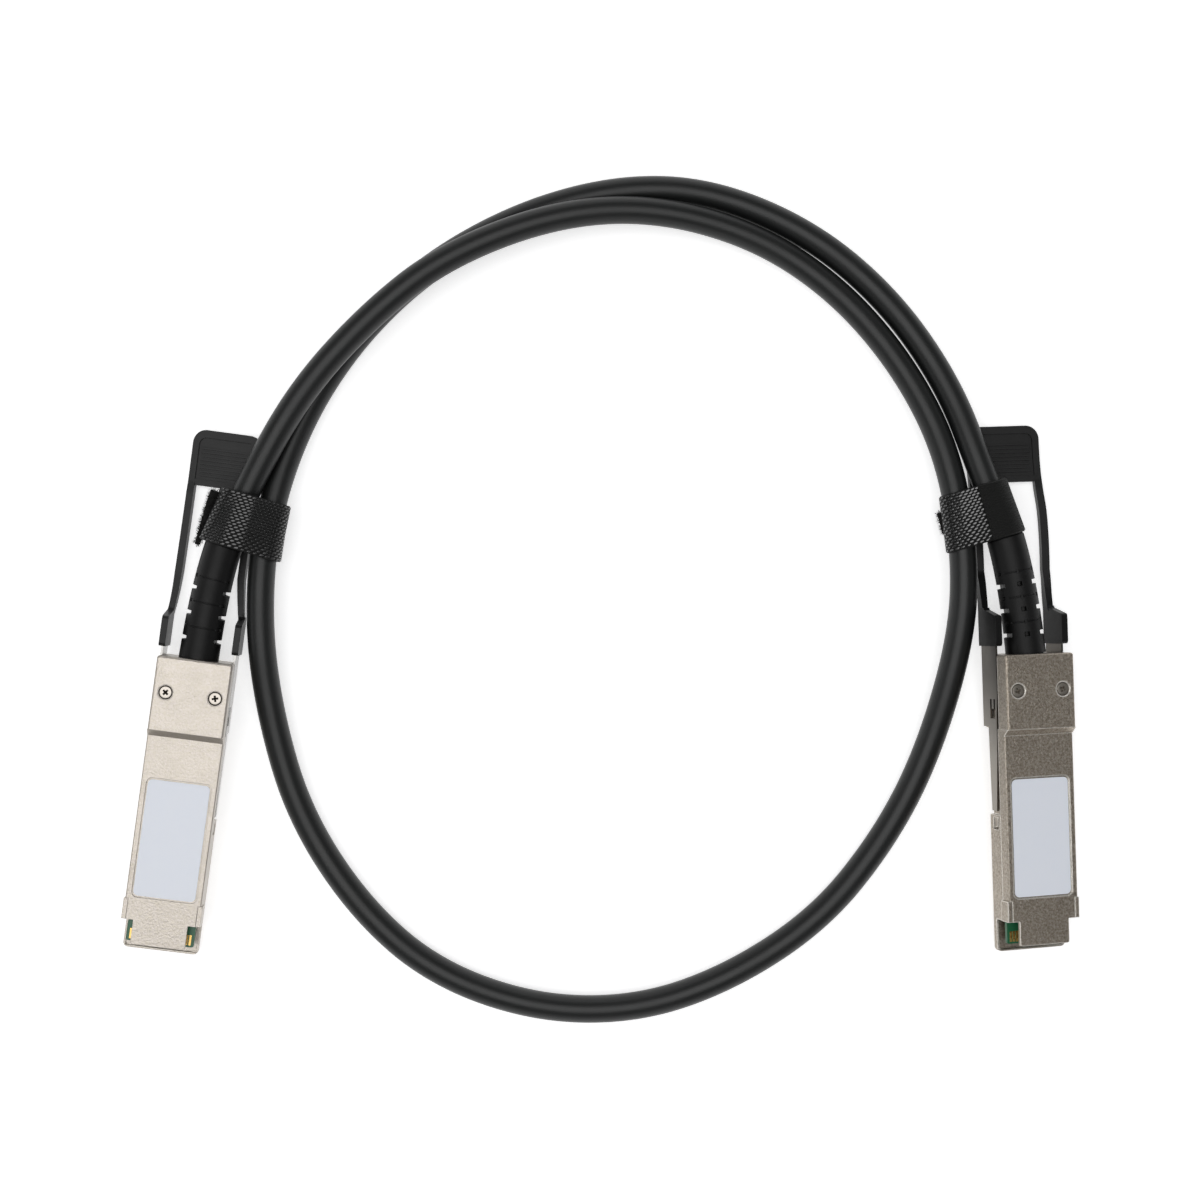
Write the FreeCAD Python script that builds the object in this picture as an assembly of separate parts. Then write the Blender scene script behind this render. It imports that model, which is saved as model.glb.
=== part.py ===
import FreeCAD, Part
import os
import math

os.makedirs("parts", exist_ok=True)

V = FreeCAD.Vector

# Frame: X right, Y away, Z up, floor at Z = 0, millimetres. Each connector has
# its own frame: u across, v from the front lip to the cable, w up from the
# underside of the plug body.

# ---- connector body ----
body_w = 18.35          # width that enters the cage
body_h = 8.5            # height that enters the cage
body_l = 72.4           # front lip to cable end
nose_l = 18.0           # length that stays outside the cage
nose_top = 10.35
nose_bottom = -2.7
half_w = body_w / 2
sheet_t = 0.5           # strip the slider is stamped from
plate_out = half_w - 0.075          # outer face of the slider plates
plate_in = plate_out - sheet_t
nose_hw = plate_out
core_hw = plate_in - 0.35           # nose half width behind the slider plates
bevel_l = 1.5
seam_w = 5.2            # height of the joint between the two halves
side_wall = 2.275
cavity_hw = half_w - side_wall
core_bay = 4.4          # half width of the bay for the wires in the nose
ledge_in = cavity_hw - 1.3          # inner edge of the card's ledges
wall_start = 8.0        # front face of the full side walls
ear_end = 13.0
ear_out = 0.35
notch_w = 2.595         # open corner beside the tongue
tongue_hw = half_w - notch_w
cover_hw = half_w - 0.775           # upper half between the ears
ear_in = cover_hw + 0.05
card_hw = half_w - 0.975            # card between the lower half's front rims
edge_r = 0.3            # softened long edges of the casting
tongue_front = 2.1
channel_depth = 0.95
channel_front = 33.5
channel_top = seam_w
latch_depth = 0.6
screw_v = body_l - 8.7
screw_u = half_w - 3.205
screw_head_r = 1.7
label_l = 28.4
label_w = 15.0
label_v1 = 42.3
label_recess = 0.3
cord_w = 4.0            # height of the cable centre in the connector frame
nose_v = body_l - nose_l            # front face of the nose
cord_v = body_l - 5.4               # the cable's end inside the ferrule
neck_v = body_l - 2.4               # the boot's neck starts here
card_end = nose_v - 10.9

# ---- slider, tab, springs ----
tab_half = plate_out + 0.15         # outer half width of the tab
tab_leg = 1.9
tab_w0 = -2.5
tab_w1 = -0.1
leg_w1 = 0.3            # the legs stand higher than the grip
tab_drift = -0.7        # sideways set of the soft loop
tab_end = body_l + 56.0
panel_l = 13.8
foot_v0 = body_l + 2.1
foot_l = 7.3
foot_v1 = foot_v0 + foot_l
shoulder_l = 1.5
flat_v = foot_v1 + 11.0             # from here on the loop lies flat
foot_wall = 0.55                    # moulding each side of the slider plate
foot_in = plate_in - foot_wall
foot_out = plate_out + foot_wall
foot_top = 6.9
ridge_pitch = 0.95
spring_r = 1.0
spring_wire = 0.3
spring_u = core_hw - 3.25

# ---- cable and straps ----
cable_d = 6.7
cable_r = cable_d / 2
strap_t = 0.8
strap_l = 13.8
strap_gap = 0.1
strap_flap = 1.7
boot_base_r = 4.85
boot_end_r = 4.55
boot_l = 28.0
boot_slot_v = (4.9, 11.0, 17.1)     # cross slots, from the nose along the cable
boot_slot_w = 0.95
boot_slot_d = 1.35

# ---- how the two connectors lie: turn about Z, then tip about their length ----
yaw_a, roll_a = -7.7, 4.0
yaw_b, roll_b = 1.8, 16.0

cable_points = [
    (-98.75, 2.30, 7.26), (-95.15, 27.65, 7.70), (-84.60, 51.60, 9.95), (-72.65, 72.65, 10.70),
    (-56.35, 90.75, 10.70), (-38.15, 105.35, 10.50), (-11.85, 115.85, 9.40), (12.75, 118.05, 7.40),
    (37.65, 112.00, 4.70), (57.75, 99.45, 3.35), (74.05, 80.75, 4.70), (85.25, 58.15, 6.90),
    (89.15, 31.65, 8.50), (88.05, 10.75, 7.70), (80.25, -17.05, 4.40), (69.35, -37.95, 3.35),
    (53.85, -56.85, 3.35), (31.45, -71.35, 3.35), (8.65, -78.95, 3.35), (-16.55, -78.45, 3.35),
    (-41.35, -69.35, 3.35), (-59.45, -53.25, 3.35), (-73.75, -31.15, 3.35), (-80.65, -7.25, 4.90),
    (-83.35, 16.35, 7.90), (-81.75, 40.75, 7.00), (-74.25, 65.45, 3.50), (-60.95, 86.45, 3.35),
    (-42.75, 103.95, 3.35), (-19.55, 116.95, 3.35), (4.95, 123.55, 3.35), (27.45, 122.65, 3.35),
    (51.45, 112.75, 3.35), (71.05, 96.35, 3.80), (85.55, 75.15, 5.30), (93.65, 53.60, 8.20),
    (103.35, 28.55, 9.00), (104.42, 3.65, 8.78),
]


def save(name, shape):
    solids = shape.Solids
    if not solids or not shape.isValid():
        print("CHECK", name, "solids", len(solids), "valid", shape.isValid())
    if len(solids) == 1:
        shape = solids[0]
    else:
        shape = Part.makeCompound(solids)
    shape.exportStep("parts/" + name + ".step")
    b = shape.BoundBox
    print("%-26s %2d solids  %8.1f mm3  %6.1f..%6.1f %6.1f..%6.1f %5.2f..%5.2f" % (
        name, len(solids), shape.Volume, b.XMin, b.XMax, b.YMin, b.YMax, b.ZMin, b.ZMax))
    return shape


def box(u0, u1, v0, v1, w0, w1):
    return Part.makeBox(u1 - u0, v1 - v0, w1 - w0, V(u0, v0, w0))


def both(u0, u1, v0, v1, w0, w1):
    return [box(u0, u1, v0, v1, w0, w1), box(-u1, -u0, v0, v1, w0, w1)]


def rod(r, v0, v1, u=0.0, w=cord_w):
    return Part.makeCylinder(r, v1 - v0, V(u, v0, w), V(0, 1, 0))


def fuse(items):
    s = items[0]
    if len(items) > 1:
        s = s.fuse(items[1:])
    return s.removeSplitter()


def round_edges(shape, radius, pick):
    edges = [e for e in shape.Edges if pick(e)]
    return shape.makeFillet(radius, edges)


def along(e, axis):
    if e.Curve.TypeId != "Part::GeomLine":
        return False
    d = e.Vertexes[-1].Point.sub(e.Vertexes[0].Point)
    d.normalize()
    return abs(d.dot(axis)) > 0.999


def seat(cable_end, yaw, roll):
    """Origin of the connector that has the cable's end at the given point."""
    rot = FreeCAD.Rotation(V(0, 0, 1), yaw).multiply(FreeCAD.Rotation(V(0, 1, 0), roll))
    o = V(*cable_end).sub(rot.multVec(V(0, cord_v, cord_w)))
    return (o.x, o.y, o.z), yaw, roll


pose_a = seat(cable_points[0], yaw_a, roll_a)
pose_b = seat(cable_points[-1], yaw_b, roll_b)


def placement(pose):
    o, yaw, roll = pose
    rot = FreeCAD.Rotation(V(0, 0, 1), yaw).multiply(FreeCAD.Rotation(V(0, 1, 0), roll))
    return FreeCAD.Placement(V(*o), rot)


def place(shape, pose):
    s = shape.copy()
    s.Placement = placement(pose)
    return s


# ================= cable =================
def route(points):
    p = [V(*q) for q in points]
    edges = []
    last = p[0]
    for i in range(1, len(p) - 1):
        a, b, c = p[i - 1], p[i], p[i + 1]
        la, lc = a.sub(b).Length, c.sub(b).Length
        da, dc = a.sub(b), c.sub(b)
        da.normalize()
        dc.normalize()
        t = 0.45 * min(la, lc)
        start, end = b + da * t, b + dc * t
        half = (math.pi - da.getAngle(dc)) / 2
        radius = t / math.tan(half)
        middle = da + dc
        middle.normalize()
        centre = b + middle * (radius / math.cos(half))
        crest = centre - middle * radius
        edges.append(Part.LineSegment(last, start).toShape())
        edges.append(Part.Arc(start, crest, end).toShape())
        last = end
    edges.append(Part.LineSegment(last, p[-1]).toShape())
    return Part.Wire(edges)


def tube(wire, radius):
    first = wire.OrderedEdges[0]
    start = first.Vertexes[0].Point
    direction = first.Vertexes[1].Point.sub(start)
    ring = Part.Wire([Part.makeCircle(radius, start, direction)])
    return wire.makePipeShell([ring], True, False, 1)


cable_wire = route(cable_points)
cable = tube(cable_wire, cable_r)
if not cable.Solids:
    cable = Part.makeSolid(cable)
print("cable length %.1f  volume / (section x length) %.4f" % (
    cable_wire.Length, cable.Volume / (math.pi * cable_r ** 2 * cable_wire.Length)))


def on_route(distance, from_end=False):
    """Point and outward direction at a distance along the cable from one of its ends."""
    edges = cable_wire.OrderedEdges
    if from_end:
        edges = edges[::-1]
    here = V(*(cable_points[-1] if from_end else cable_points[0]))
    for e in edges:
        a, b = e.firstVertex(True).Point, e.lastVertex(True).Point
        flip = a.sub(here).Length > b.sub(here).Length
        if distance <= e.Length:
            run = e.Length - distance if flip else distance
            u = e.getParameterByLength(run)
            lo, hi = e.ParameterRange
            p0 = e.valueAt(lo)
            if p0.sub(a).Length > 1e-4:
                u = e.getParameterByLength(e.Length - run)
            point = e.valueAt(u)
            d = e.tangentAt(u)
            d.normalize()
            away = (b if not flip else a).sub(here)
            if d.dot(away) < 0:
                d = d * -1
            return point, d
        distance -= e.Length
        here = a if flip else b
    raise ValueError("too far")


def nearest(point, way, near, far):
    """Where another strand crosses the plane through a point across the given way."""
    w = V(way.x, way.y, 0)
    w.normalize()
    best = None
    for e in cable_wire.OrderedEdges:
        for k in range(41):
            lo, hi = e.ParameterRange
            q = e.valueAt(lo + (hi - lo) * k / 40.0)
            r = q.sub(point)
            off = abs(r.x * w.x + r.y * w.y)
            if near < r.Length < far and (best is None or off < best[0]):
                best = (off, q, e.tangentAt(lo + (hi - lo) * k / 40.0))
    return best[1], best[2]


# ================= connector pieces, connector frame =================
def make_lower():
    hw = half_w
    # plug part
    s = fuse([
        box(-hw, hw, 0, nose_v, 0, 1.2),
    ] + both(cavity_hw, hw, wall_start, nose_v, 1.1, seam_w))
    # front tray: thin floor with a low rim
    s = s.cut(box(-hw + 0.5, hw - 0.5, 0.5, wall_start, 0.9, 3.0))
    s = fuse([s, box(-hw, hw, 0, 0.5, 1.0, 1.5)] + both(hw - 0.5, hw, 0, wall_start, 1.0, 1.5))
    s = round_edges(s, 1.2, lambda e: along(e, V(0, 0, 1)) and e.CenterOfMass.y < 0.1)
    # ears beside the upper half
    ears = both(ear_in, hw + ear_out, wall_start, ear_end, seam_w - 0.4, body_h - 0.1)
    ears += both(ear_in, hw, wall_start, ear_end, seam_w - 1.0, seam_w)
    s = fuse([s] + ears)
    # nose core
    core = box(-core_hw, core_hw, nose_v, body_l, -1.7, seam_w)
    rails = [box(-core_hw, core_hw, nose_v, nose_v + 3.0, nose_bottom, -1.6),
             box(-core_hw, core_hw, body_l - 1.9, body_l, nose_bottom, -1.6)]
    s = fuse([s, core] + rails)
    s = round_edges(s, 0.5, lambda e: along(e, V(1, 0, 0)) and e.CenterOfMass.z < nose_bottom + 0.05)
    # inside of the nose
    s = s.cut(fuse([box(-core_bay, core_bay, nose_v - 2.5, body_l - 6.4, 1.2, seam_w + 1),
                    box(-cavity_hw, cavity_hw, nose_v - 10.4, nose_v - 2.4, 1.2, seam_w + 1)]))
    s = s.cut(rod(4.0, body_l - 6.5, body_l + 1))
    s = s.cut(rod(4.7, body_l - 4.9, body_l - 3.4))
    s = s.cut(rod(4.3, neck_v, body_l + 1))
    # side channels for the slider arms
    for sgn in (1, -1):
        prof = Part.makePolygon([
            V(sgn * (hw + 1), channel_front, 0), V(sgn * (hw - channel_depth), channel_front, 0),
            V(sgn * (hw - channel_depth), nose_v + 0.01, 0), V(sgn * (hw + 1), nose_v + 0.01, 0),
            V(sgn * (hw + 1), channel_front, 0)])
        cut = Part.Face(prof).extrude(V(0, 0, channel_top + 1))
        cut.translate(V(0, 0, -0.5))
        s = s.cut(cut)
    # latch pockets in front of the channels, each with a small tongue standing in it
    for sgn in (1, -1):
        a, b = sorted((sgn * (hw - latch_depth), sgn * (hw + 1)))
        pocket = box(a, b, channel_front - 3.6, channel_front - 0.7, 1.6, 4.3)
        pocket = round_edges(pocket, 0.5, lambda e: along(e, V(1, 0, 0)) and e.CenterOfMass.y < channel_front - 2)
        a, b = sorted((sgn * (hw - latch_depth - 0.1), sgn * (hw - 0.1)))
        tongue = box(a, b, channel_front - 2.9, channel_front - 0.1, 2.35, 3.55)
        s = s.cut(pocket.cut(tongue))
    # spring pockets in the nose underside
    for c in (spring_u, -spring_u):
        s = s.cut(box(c - 1.3, c + 1.3, nose_v + 5.2, body_l - 3.0, -1.8, 0.9))
    # card ledges
    s = fuse([s] + both(ledge_in, cavity_hw + 0.1, 12.0, 15.0, 1.1, 3.9)
             + both(ledge_in, cavity_hw + 0.1, card_end - 7.5, card_end - 5.0, 1.1, 3.9))
    # threaded holes for the two screws
    for c in (screw_u, -screw_u):
        s = s.cut(Part.makeCylinder(0.8, 6.0, V(c, screw_v, 1.2), V(0, 0, 1)))
    return s


def make_upper():
    hw = half_w
    v1 = nose_v
    # plug part in side view, with the bevel up to the nose
    side = Part.makePolygon([
        V(0, ear_end, seam_w), V(0, ear_end, body_h), V(0, v1 - bevel_l, body_h),
        V(0, v1, nose_top), V(0, body_l, nose_top), V(0, body_l, seam_w), V(0, ear_end, seam_w)])
    s = Part.Face(side).extrude(V(2 * hw, 0, 0))
    s.translate(V(-hw, 0, 0))
    # the nose is a little narrower and stands clear of the slider plates
    for sgn in (1, -1):
        a, b = sorted((sgn * nose_hw, sgn * (hw + 1)))
        s = s.cut(box(a, b, v1, body_l + 1, seam_w - 1, nose_top + 1))
        a, b = sorted((sgn * core_hw, sgn * (hw + 1)))
        s = s.cut(box(a, b, v1, body_l + 1, seam_w - 1, 5.75))
    # tongue
    front = box(-cover_hw, cover_hw, wall_start, ear_end + 0.1, 7.4, body_h)
    sides = both(cover_hw - 1.0, cover_hw, wall_start, ear_end + 0.1, seam_w, 7.5)
    tongue = box(-tongue_hw, tongue_hw, tongue_front, wall_start + 0.1, 7.6, body_h)
    s = s.cut(box(-cavity_hw, cavity_hw, ear_end - 1, nose_v - 2.4, seam_w - 1, 7.5))
    s = s.cut(box(-core_bay, core_bay, nose_v - 2.5, body_l - 6.4, seam_w - 1, 7.6))
    s = fuse([s, front, tongue] + sides)
    s = round_edges(s, 0.6, lambda e: along(e, V(0, 0, 1)) and e.CenterOfMass.y < tongue_front + 0.05)
    s = round_edges(s, 0.5, lambda e: along(e, V(0, 1, 0)) and e.CenterOfMass.z > nose_top - 0.05)
    s = round_edges(s, edge_r, lambda e: along(e, V(0, 1, 0)) and abs(e.CenterOfMass.z - body_h) < 0.02
                    and abs(e.CenterOfMass.x) > hw - 0.02)
    s = round_edges(s, 0.6, lambda e: along(e, V(1, 0, 0)) and e.CenterOfMass.z > nose_top - 0.05
                    and e.CenterOfMass.y > body_l - 0.2)
    s = s.cut(rod(4.0, body_l - 6.5, body_l + 1))
    s = s.cut(rod(4.7, body_l - 4.9, body_l - 3.4))
    s = s.cut(rod(4.3, neck_v, body_l + 1))
    # ribs that hold the card down
    s = fuse([s] + both(ledge_in, cavity_hw + 0.1, 13.0, 15.0, 4.9, 7.6)
             + both(ledge_in, cavity_hw + 0.1, card_end - 7.5, card_end - 5.0, 4.9, 7.6))
    # label recess with rounded corners
    rec = box(-label_w / 2 - 0.35, label_w / 2 + 0.35, label_v1 - label_l - 0.4, label_v1 + 0.4,
              body_h - label_recess, body_h + 1)
    rec = round_edges(rec, 1.4, lambda e: along(e, V(0, 0, 1)))
    s = s.cut(rec)
    # screw seats
    for c in (screw_u, -screw_u):
        s = s.cut(Part.makeCylinder(screw_head_r, 2.0, V(c, screw_v, nose_top - 1.3), V(0, 0, 1)))
        s = s.cut(Part.makeCylinder(0.95, nose_top, V(c, screw_v, seam_w - 1), V(0, 0, 1)))
        s = s.cut(Part.makeCylinder(screw_head_r + 0.2, 1.0, V(c, screw_v, nose_top - 0.15), V(0, 0, 1)))
    return s


def make_screws():
    out = []
    for c in (screw_u, -screw_u):
        head = Part.makeCylinder(screw_head_r, 1.1, V(c, screw_v, nose_top - 1.3), V(0, 0, 1))
        edge = [e for e in head.Edges if e.CenterOfMass.z > nose_top - 0.25 and e.Curve.TypeId == "Part::GeomCircle"]
        head = head.makeFillet(0.3, edge)
        shaft = Part.makeCylinder(0.8, nose_top - 1.3 - 1.6 + 0.1, V(c, screw_v, 1.6), V(0, 0, 1))
        s = fuse([head, shaft])
        top = nose_top - 0.2
        for a, b in ((0.95, 0.22), (0.22, 0.95)):
            s = s.cut(box(c - a, c + a, screw_v - b, screw_v + b, top - 0.65, top + 0.3))
        out.append(s)
    return Part.makeCompound(out)


def make_slider():
    front, back = nose_v + 4.0, nose_v + 12.0
    tip = channel_front + 0.9
    parts = [box(-plate_out, plate_out, front, back, -2.5, -2.5 + sheet_t)]
    for sgn in (1, -1):
        a, b = sorted((sgn * plate_in, sgn * plate_out))
        # in side view: full plate, window part, tapering arm, tail for the tab's foot
        outline = [
            (foot_v1 - 1.2, -1.7), (body_l + 0.8, -2.5), (nose_v + 0.4, -2.5), (nose_v + 0.4, 0.35),
            (tip, 0.95), (tip, 3.4), (nose_v - 6.4, 4.4), (front - 0.4, 4.75), (nose_v + 8.0, 5.25),
            (foot_v1 - 1.2, 5.25), (foot_v1 - 1.2, -1.7)]
        plate = Part.Face(Part.makePolygon([V(a, v, w) for v, w in outline])).extrude(V(b - a, 0, 0))
        # window with a tongue left in it
        window = box(a - 1, b + 1, nose_v + 2.5, nose_v + 7.2, 1.5, 4.1)
        window = window.cut(box(a - 2, b + 2, nose_v + 4.8, nose_v + 7.3, 2.35, 3.25))
        parts.append(plate.cut(window))
        # spring lug, bent up from the bridge
        parts.append(box(sgn * spring_u - 1.0, sgn * spring_u + 1.0, nose_v + 5.6, nose_v + 6.1, -2.4, 0.55))
    s = fuse(parts)
    return round_edges(s, 0.35, lambda e: along(e, V(0, 1, 0)) and e.CenterOfMass.z < -2.45
                       and abs(e.CenterOfMass.x) > plate_out - 0.1)


def coil(u, v0, v1, w, turns):
    r = spring_r
    helix = Part.makeHelix((v1 - v0 - spring_wire) / turns, v1 - v0 - spring_wire, r)
    sq = spring_wire / 2
    prof = Part.makePolygon([V(r - sq, 0, -sq), V(r + sq, 0, -sq), V(r + sq, 0, sq), V(r - sq, 0, sq), V(r - sq, 0, -sq)])
    s = Part.Wire(helix.Edges).makePipeShell([Part.Wire(prof.Edges)], True, True)
    s.rotate(V(0, 0, 0), V(1, 0, 0), -90)
    s.translate(V(u, v0 + sq, w))
    return s


def make_springs():
    return Part.makeCompound([coil(c, nose_v + 6.1, body_l - 3.0, -0.55, 7) for c in (spring_u, -spring_u)])


def make_card():
    s = fuse([box(-card_hw, card_hw, 2.3, 7.9, 3.9, 4.9),
              box(-cavity_hw + 0.1, cavity_hw - 0.1, 7.8, card_end, 3.9, 4.9)])
    s = round_edges(s, 0.5, lambda e: along(e, V(0, 0, 1)) and e.CenterOfMass.y < 2.4)
    return s


def make_fingers():
    out = []
    for i in range(19):
        c = (i - 9) * 0.8
        out.append(box(c - 0.29, c + 0.29, 2.75, 5.3, 4.9, 4.95))
        out.append(box(c - 0.29, c + 0.29, 2.75, 5.3, 3.85, 3.9))
    return Part.makeCompound(out)


def make_chip():
    return fuse([box(-4.0, -1.0, 22.0, 26.0, 4.95, 5.75)]
                + [box(-4.6 + k * 3.55, -3.95 + k * 3.55, 22.4 + j * 0.9, 22.75 + j * 0.9, 4.9, 5.1)
                   for k in (0, 1) for j in range(4)])


def make_caps():
    out = []
    for k in range(4):
        c = (k - 1.5) * 2.4
        out.append(box(c - 0.65, c - 0.15, 12.0, 13.0, 4.9, 5.4))
        out.append(box(c + 0.15, c + 0.65, 12.0, 13.0, 4.9, 5.4))
    return Part.makeCompound(out)


def oval(u, v, w, a, b):
    """Flat oval section a wide and b high, in a plane across the connector."""
    r = b / 2
    x = a / 2 - r
    e = [Part.LineSegment(V(u - x, v, w - r), V(u + x, v, w - r)).toShape(),
         Part.Arc(V(u + x, v, w - r), V(u + x + r, v, w), V(u + x, v, w + r)).toShape(),
         Part.LineSegment(V(u + x, v, w + r), V(u - x, v, w + r)).toShape(),
         Part.Arc(V(u - x, v, w + r), V(u - x - r, v, w), V(u - x, v, w - r)).toShape()]
    return Part.Wire(e)


def make_pairs():
    out = []
    for up in (1, -1):
        for k in range(4):
            m = k - 1.5
            w0 = 4.9 + 0.5 if up > 0 else 3.9 - 0.5
            w1 = cord_w + up * 0.75
            secs = [oval(m * 2.9, card_end - 3.5, w0, 1.7, 1.0), oval(m * 2.9, card_end + 3.5, w0, 1.7, 1.0),
                    oval(m * 1.6, nose_v + 3.0, w1, 1.5, 1.0), oval(m * 1.6, cord_v - 0.3, w1, 1.5, 1.0)]
            out.append(Part.makeLoft(secs, True, True))
    return Part.makeCompound(out)


def make_mould(card, pairs):
    s = box(-cavity_hw + 0.6, cavity_hw - 0.6, card_end - 4.5, card_end + 3.5, 1.6, 7.1)
    s = round_edges(s, 0.6, lambda e: along(e, V(0, 1, 0)))
    s = s.cut(card)
    for p in pairs.Solids:
        s = s.cut(p)
    return s


def make_ferrule():
    s = fuse([rod(4.0, body_l - 6.4, neck_v), rod(4.65, body_l - 4.85, body_l - 3.45)])
    return s.cut(rod(cable_r + 0.12, body_l - 7.4, neck_v + 1))


def make_label():
    s = box(-label_w / 2, label_w / 2, label_v1 - label_l, label_v1, body_h - label_recess, body_h - label_recess + 0.15)
    return round_edges(s, 1.2, lambda e: along(e, V(0, 0, 1)))


def rect(pl, u0, u1, v, w0, w1):
    pts = [pl.multVec(V(u, v, w)) for u, w in ((u0, w0), (u1, w0), (u1, w1), (u0, w1))]
    return Part.makePolygon(pts + [pts[0]])


def make_tab(pose, slider):
    """The soft loop: feet follow the connector, the loop itself lies flat on the floor."""
    o, yaw, roll = pose
    tilted = placement(pose)
    drop = -tab_w0 + 0.2
    centre = tilted.multVec(V(0, 0, -1.4))
    flat = FreeCAD.Placement(V(centre.x, centre.y, drop), FreeCAD.Rotation(V(0, 0, 1), yaw))
    feet, legs = [], []
    hw, d = tab_half, tab_drift
    for sgn in (1, -1):
        a, b = sorted((sgn * foot_in, sgn * foot_out))
        # tall thin cheek, seen from the side, with a sloping shoulder down to the leg
        cheek = [(foot_v0, tab_w0 + 0.15), (foot_v1 + shoulder_l + 0.5, tab_w0 + 0.15),
                 (foot_v1 + shoulder_l + 0.5, leg_w1), (foot_v1 + shoulder_l, leg_w1 + 0.3),
                 (foot_v1, foot_top), (foot_v0, foot_top)]
        pts = [V(a, v, w) for v, w in cheek]
        foot = Part.Face(Part.makePolygon(pts + pts[:1])).extrude(V(b - a, 0, 0))
        foot = round_edges(foot, 0.9, lambda e: along(e, V(1, 0, 0)) and e.CenterOfMass.z > foot_top - 0.1)
        foot.Placement = tilted
        feet.append(foot)
        p, q = sorted((sgn * (hw - tab_leg), sgn * hw))
        leg = Part.makeLoft([
            rect(tilted, a + 0.05, b - 0.05, foot_v1, tab_w0 + 0.2, leg_w1),
            rect(flat, p + d, q + d, flat_v, tab_w0, leg_w1)], True, True)
        legs.append(leg)
        straight = box(p + d, q + d, flat_v, tab_end - panel_l - 2.0, tab_w0, leg_w1)
        straight.Placement = flat
        legs.append(straight)
        step = Part.makeLoft([
            rect(flat, p + d, q + d, tab_end - panel_l - 2.0, tab_w0, leg_w1),
            rect(flat, p + d, q + d, tab_end - panel_l + 1.0, tab_w0, tab_w1)], True, True)
        legs.append(step)
    panel = box(-hw + d, hw + d, tab_end - panel_l, tab_end, tab_w0, tab_w1)
    panel = round_edges(panel, 3.4, lambda e: along(e, V(0, 0, 1)) and e.CenterOfMass.y > tab_end - 1)
    # sunk field with ridges inside a raised rim, both faces
    for w0, w1 in ((tab_w1 - 0.5, tab_w1 + 1), (tab_w0 - 1, tab_w0 + 0.5)):
        f = box(-hw + d + 1.7, hw + d - 1.7, tab_end - panel_l + 1.5, tab_end - 1.9, w0, w1)
        f = round_edges(f, 1.8, lambda e: along(e, V(0, 0, 1)) and e.CenterOfMass.y > tab_end - 3)
        panel = panel.cut(f)
    ridges = []
    v = tab_end - panel_l + 2.6
    while v < tab_end - 3.6:
        ridges.append(box(-hw + d + 2.5, hw + d - 2.5, v - 0.22, v + 0.22, tab_w0 + 0.1, tab_w1 - 0.1))
        v += ridge_pitch
    panel = fuse([panel] + ridges)
    panel.Placement = flat
    s = fuse(feet + legs + [panel])
    return s.cut(slider)


def make_boot(from_end, neck):
    """Soft boot that follows the cable, with pairs of cross slots in its sides."""
    at = body_l - cord_v
    n = 6
    rings = []
    for i in range(n):
        t = i / (n - 1)
        p, d = on_route(at + 0.1 + t * boot_l, from_end)
        r = boot_base_r + (boot_end_r - boot_base_r) * t
        rings.append(Part.Wire([Part.makeCircle(r, p, d)]))
    s = Part.makeLoft(rings, True, True)
    s = s.fuse(neck)
    for dist in boot_slot_v:
        p, d = on_route(at + dist, from_end)
        r = boot_base_r + (boot_end_r - boot_base_r) * dist / boot_l
        across = d.cross(V(0, 0, 1))
        across.normalize()
        up = across.cross(d)
        up.normalize()
        for side in (1, -1):
            cut = Part.makeBox(3.2, boot_slot_w, 14, V(0, -boot_slot_w / 2, -7))
            base = p + across * (side * (r - boot_slot_d))
            cut.Placement = FreeCAD.Placement(FreeCAD.Matrix(
                across.x * side, d.x * side, up.x, base.x, across.y * side, d.y * side, up.y, base.y,
                across.z * side, d.z * side, up.z, base.z, 0, 0, 0, 1))
            s = s.cut(cut)
    return s.cut(cable)


def make_strap(c1, c2, r1, r2, direction, lap_over, flap_out):
    """A band round two strands, with its end lapped over the top and a short free flap."""
    d = V(*direction)
    d.normalize()
    a, b = V(*c1), V(*c2)
    axis = b.sub(a)
    axis = axis - d * axis.dot(d)
    dist = axis.Length
    axis.normalize()
    up = d.cross(axis)
    if up.z < 0:
        d = d * -1
        up = up * -1
    b = a + axis * dist
    lean = math.asin((r1 - r2) / dist)

    def on(c, r, ang):
        return c + (axis * math.cos(ang) + up * math.sin(ang)) * r

    def hull(x1, x2):
        s0 = math.pi / 2 - lean * 1.0
        e = [Part.Arc(on(a, x1, s0), on(a, x1, math.pi), on(a, x1, 2 * math.pi - s0)).toShape(),
             Part.LineSegment(on(a, x1, 2 * math.pi - s0), on(b, x2, 2 * math.pi - s0)).toShape(),
             Part.Arc(on(b, x2, 2 * math.pi - s0), on(b, x2, 0), on(b, x2, s0)).toShape(),
             Part.LineSegment(on(b, x2, s0), on(a, x1, s0)).toShape()]
        f = Part.Face(Part.Wire(e))
        f.translate(d * -(strap_l / 2))
        return f.extrude(d * strap_l)

    def local_box(x0, x1, y0, y1, z0, z1):
        bx = Part.makeBox(x1 - x0, y1 - y0, z1 - z0, V(x0, y0, z0))
        y = up.cross(axis)
        bx.Placement = FreeCAD.Placement(FreeCAD.Matrix(
            axis.x, y.x, up.x, a.x, axis.y, y.y, up.y, a.y, axis.z, y.z, up.z, a.z, 0, 0, 0, 1))
        return bx

    t = strap_t
    band = hull(r1 + t, r2 + t).cut(hull(r1, r2))
    lap = hull(r1 + 2 * t, r2 + 2 * t).cut(hull(r1 + t - 0.3, r2 + t - 0.3))
    x0, x1 = lap_over
    keep = local_box(x0 * dist, x1 * dist, -20, 20, -0.5, 30)
    # the lower end of the tape stands out at the outer side
    flap = local_box(-(r1 + t) - flap_out, -(r1 + t) + 0.5, -strap_l / 2 + 0.8, strap_l / 2 - 0.8, -0.4, 0.4)
    out = band.fuse(lap.common(keep))
    return out.fuse(flap).removeSplitter()


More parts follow.
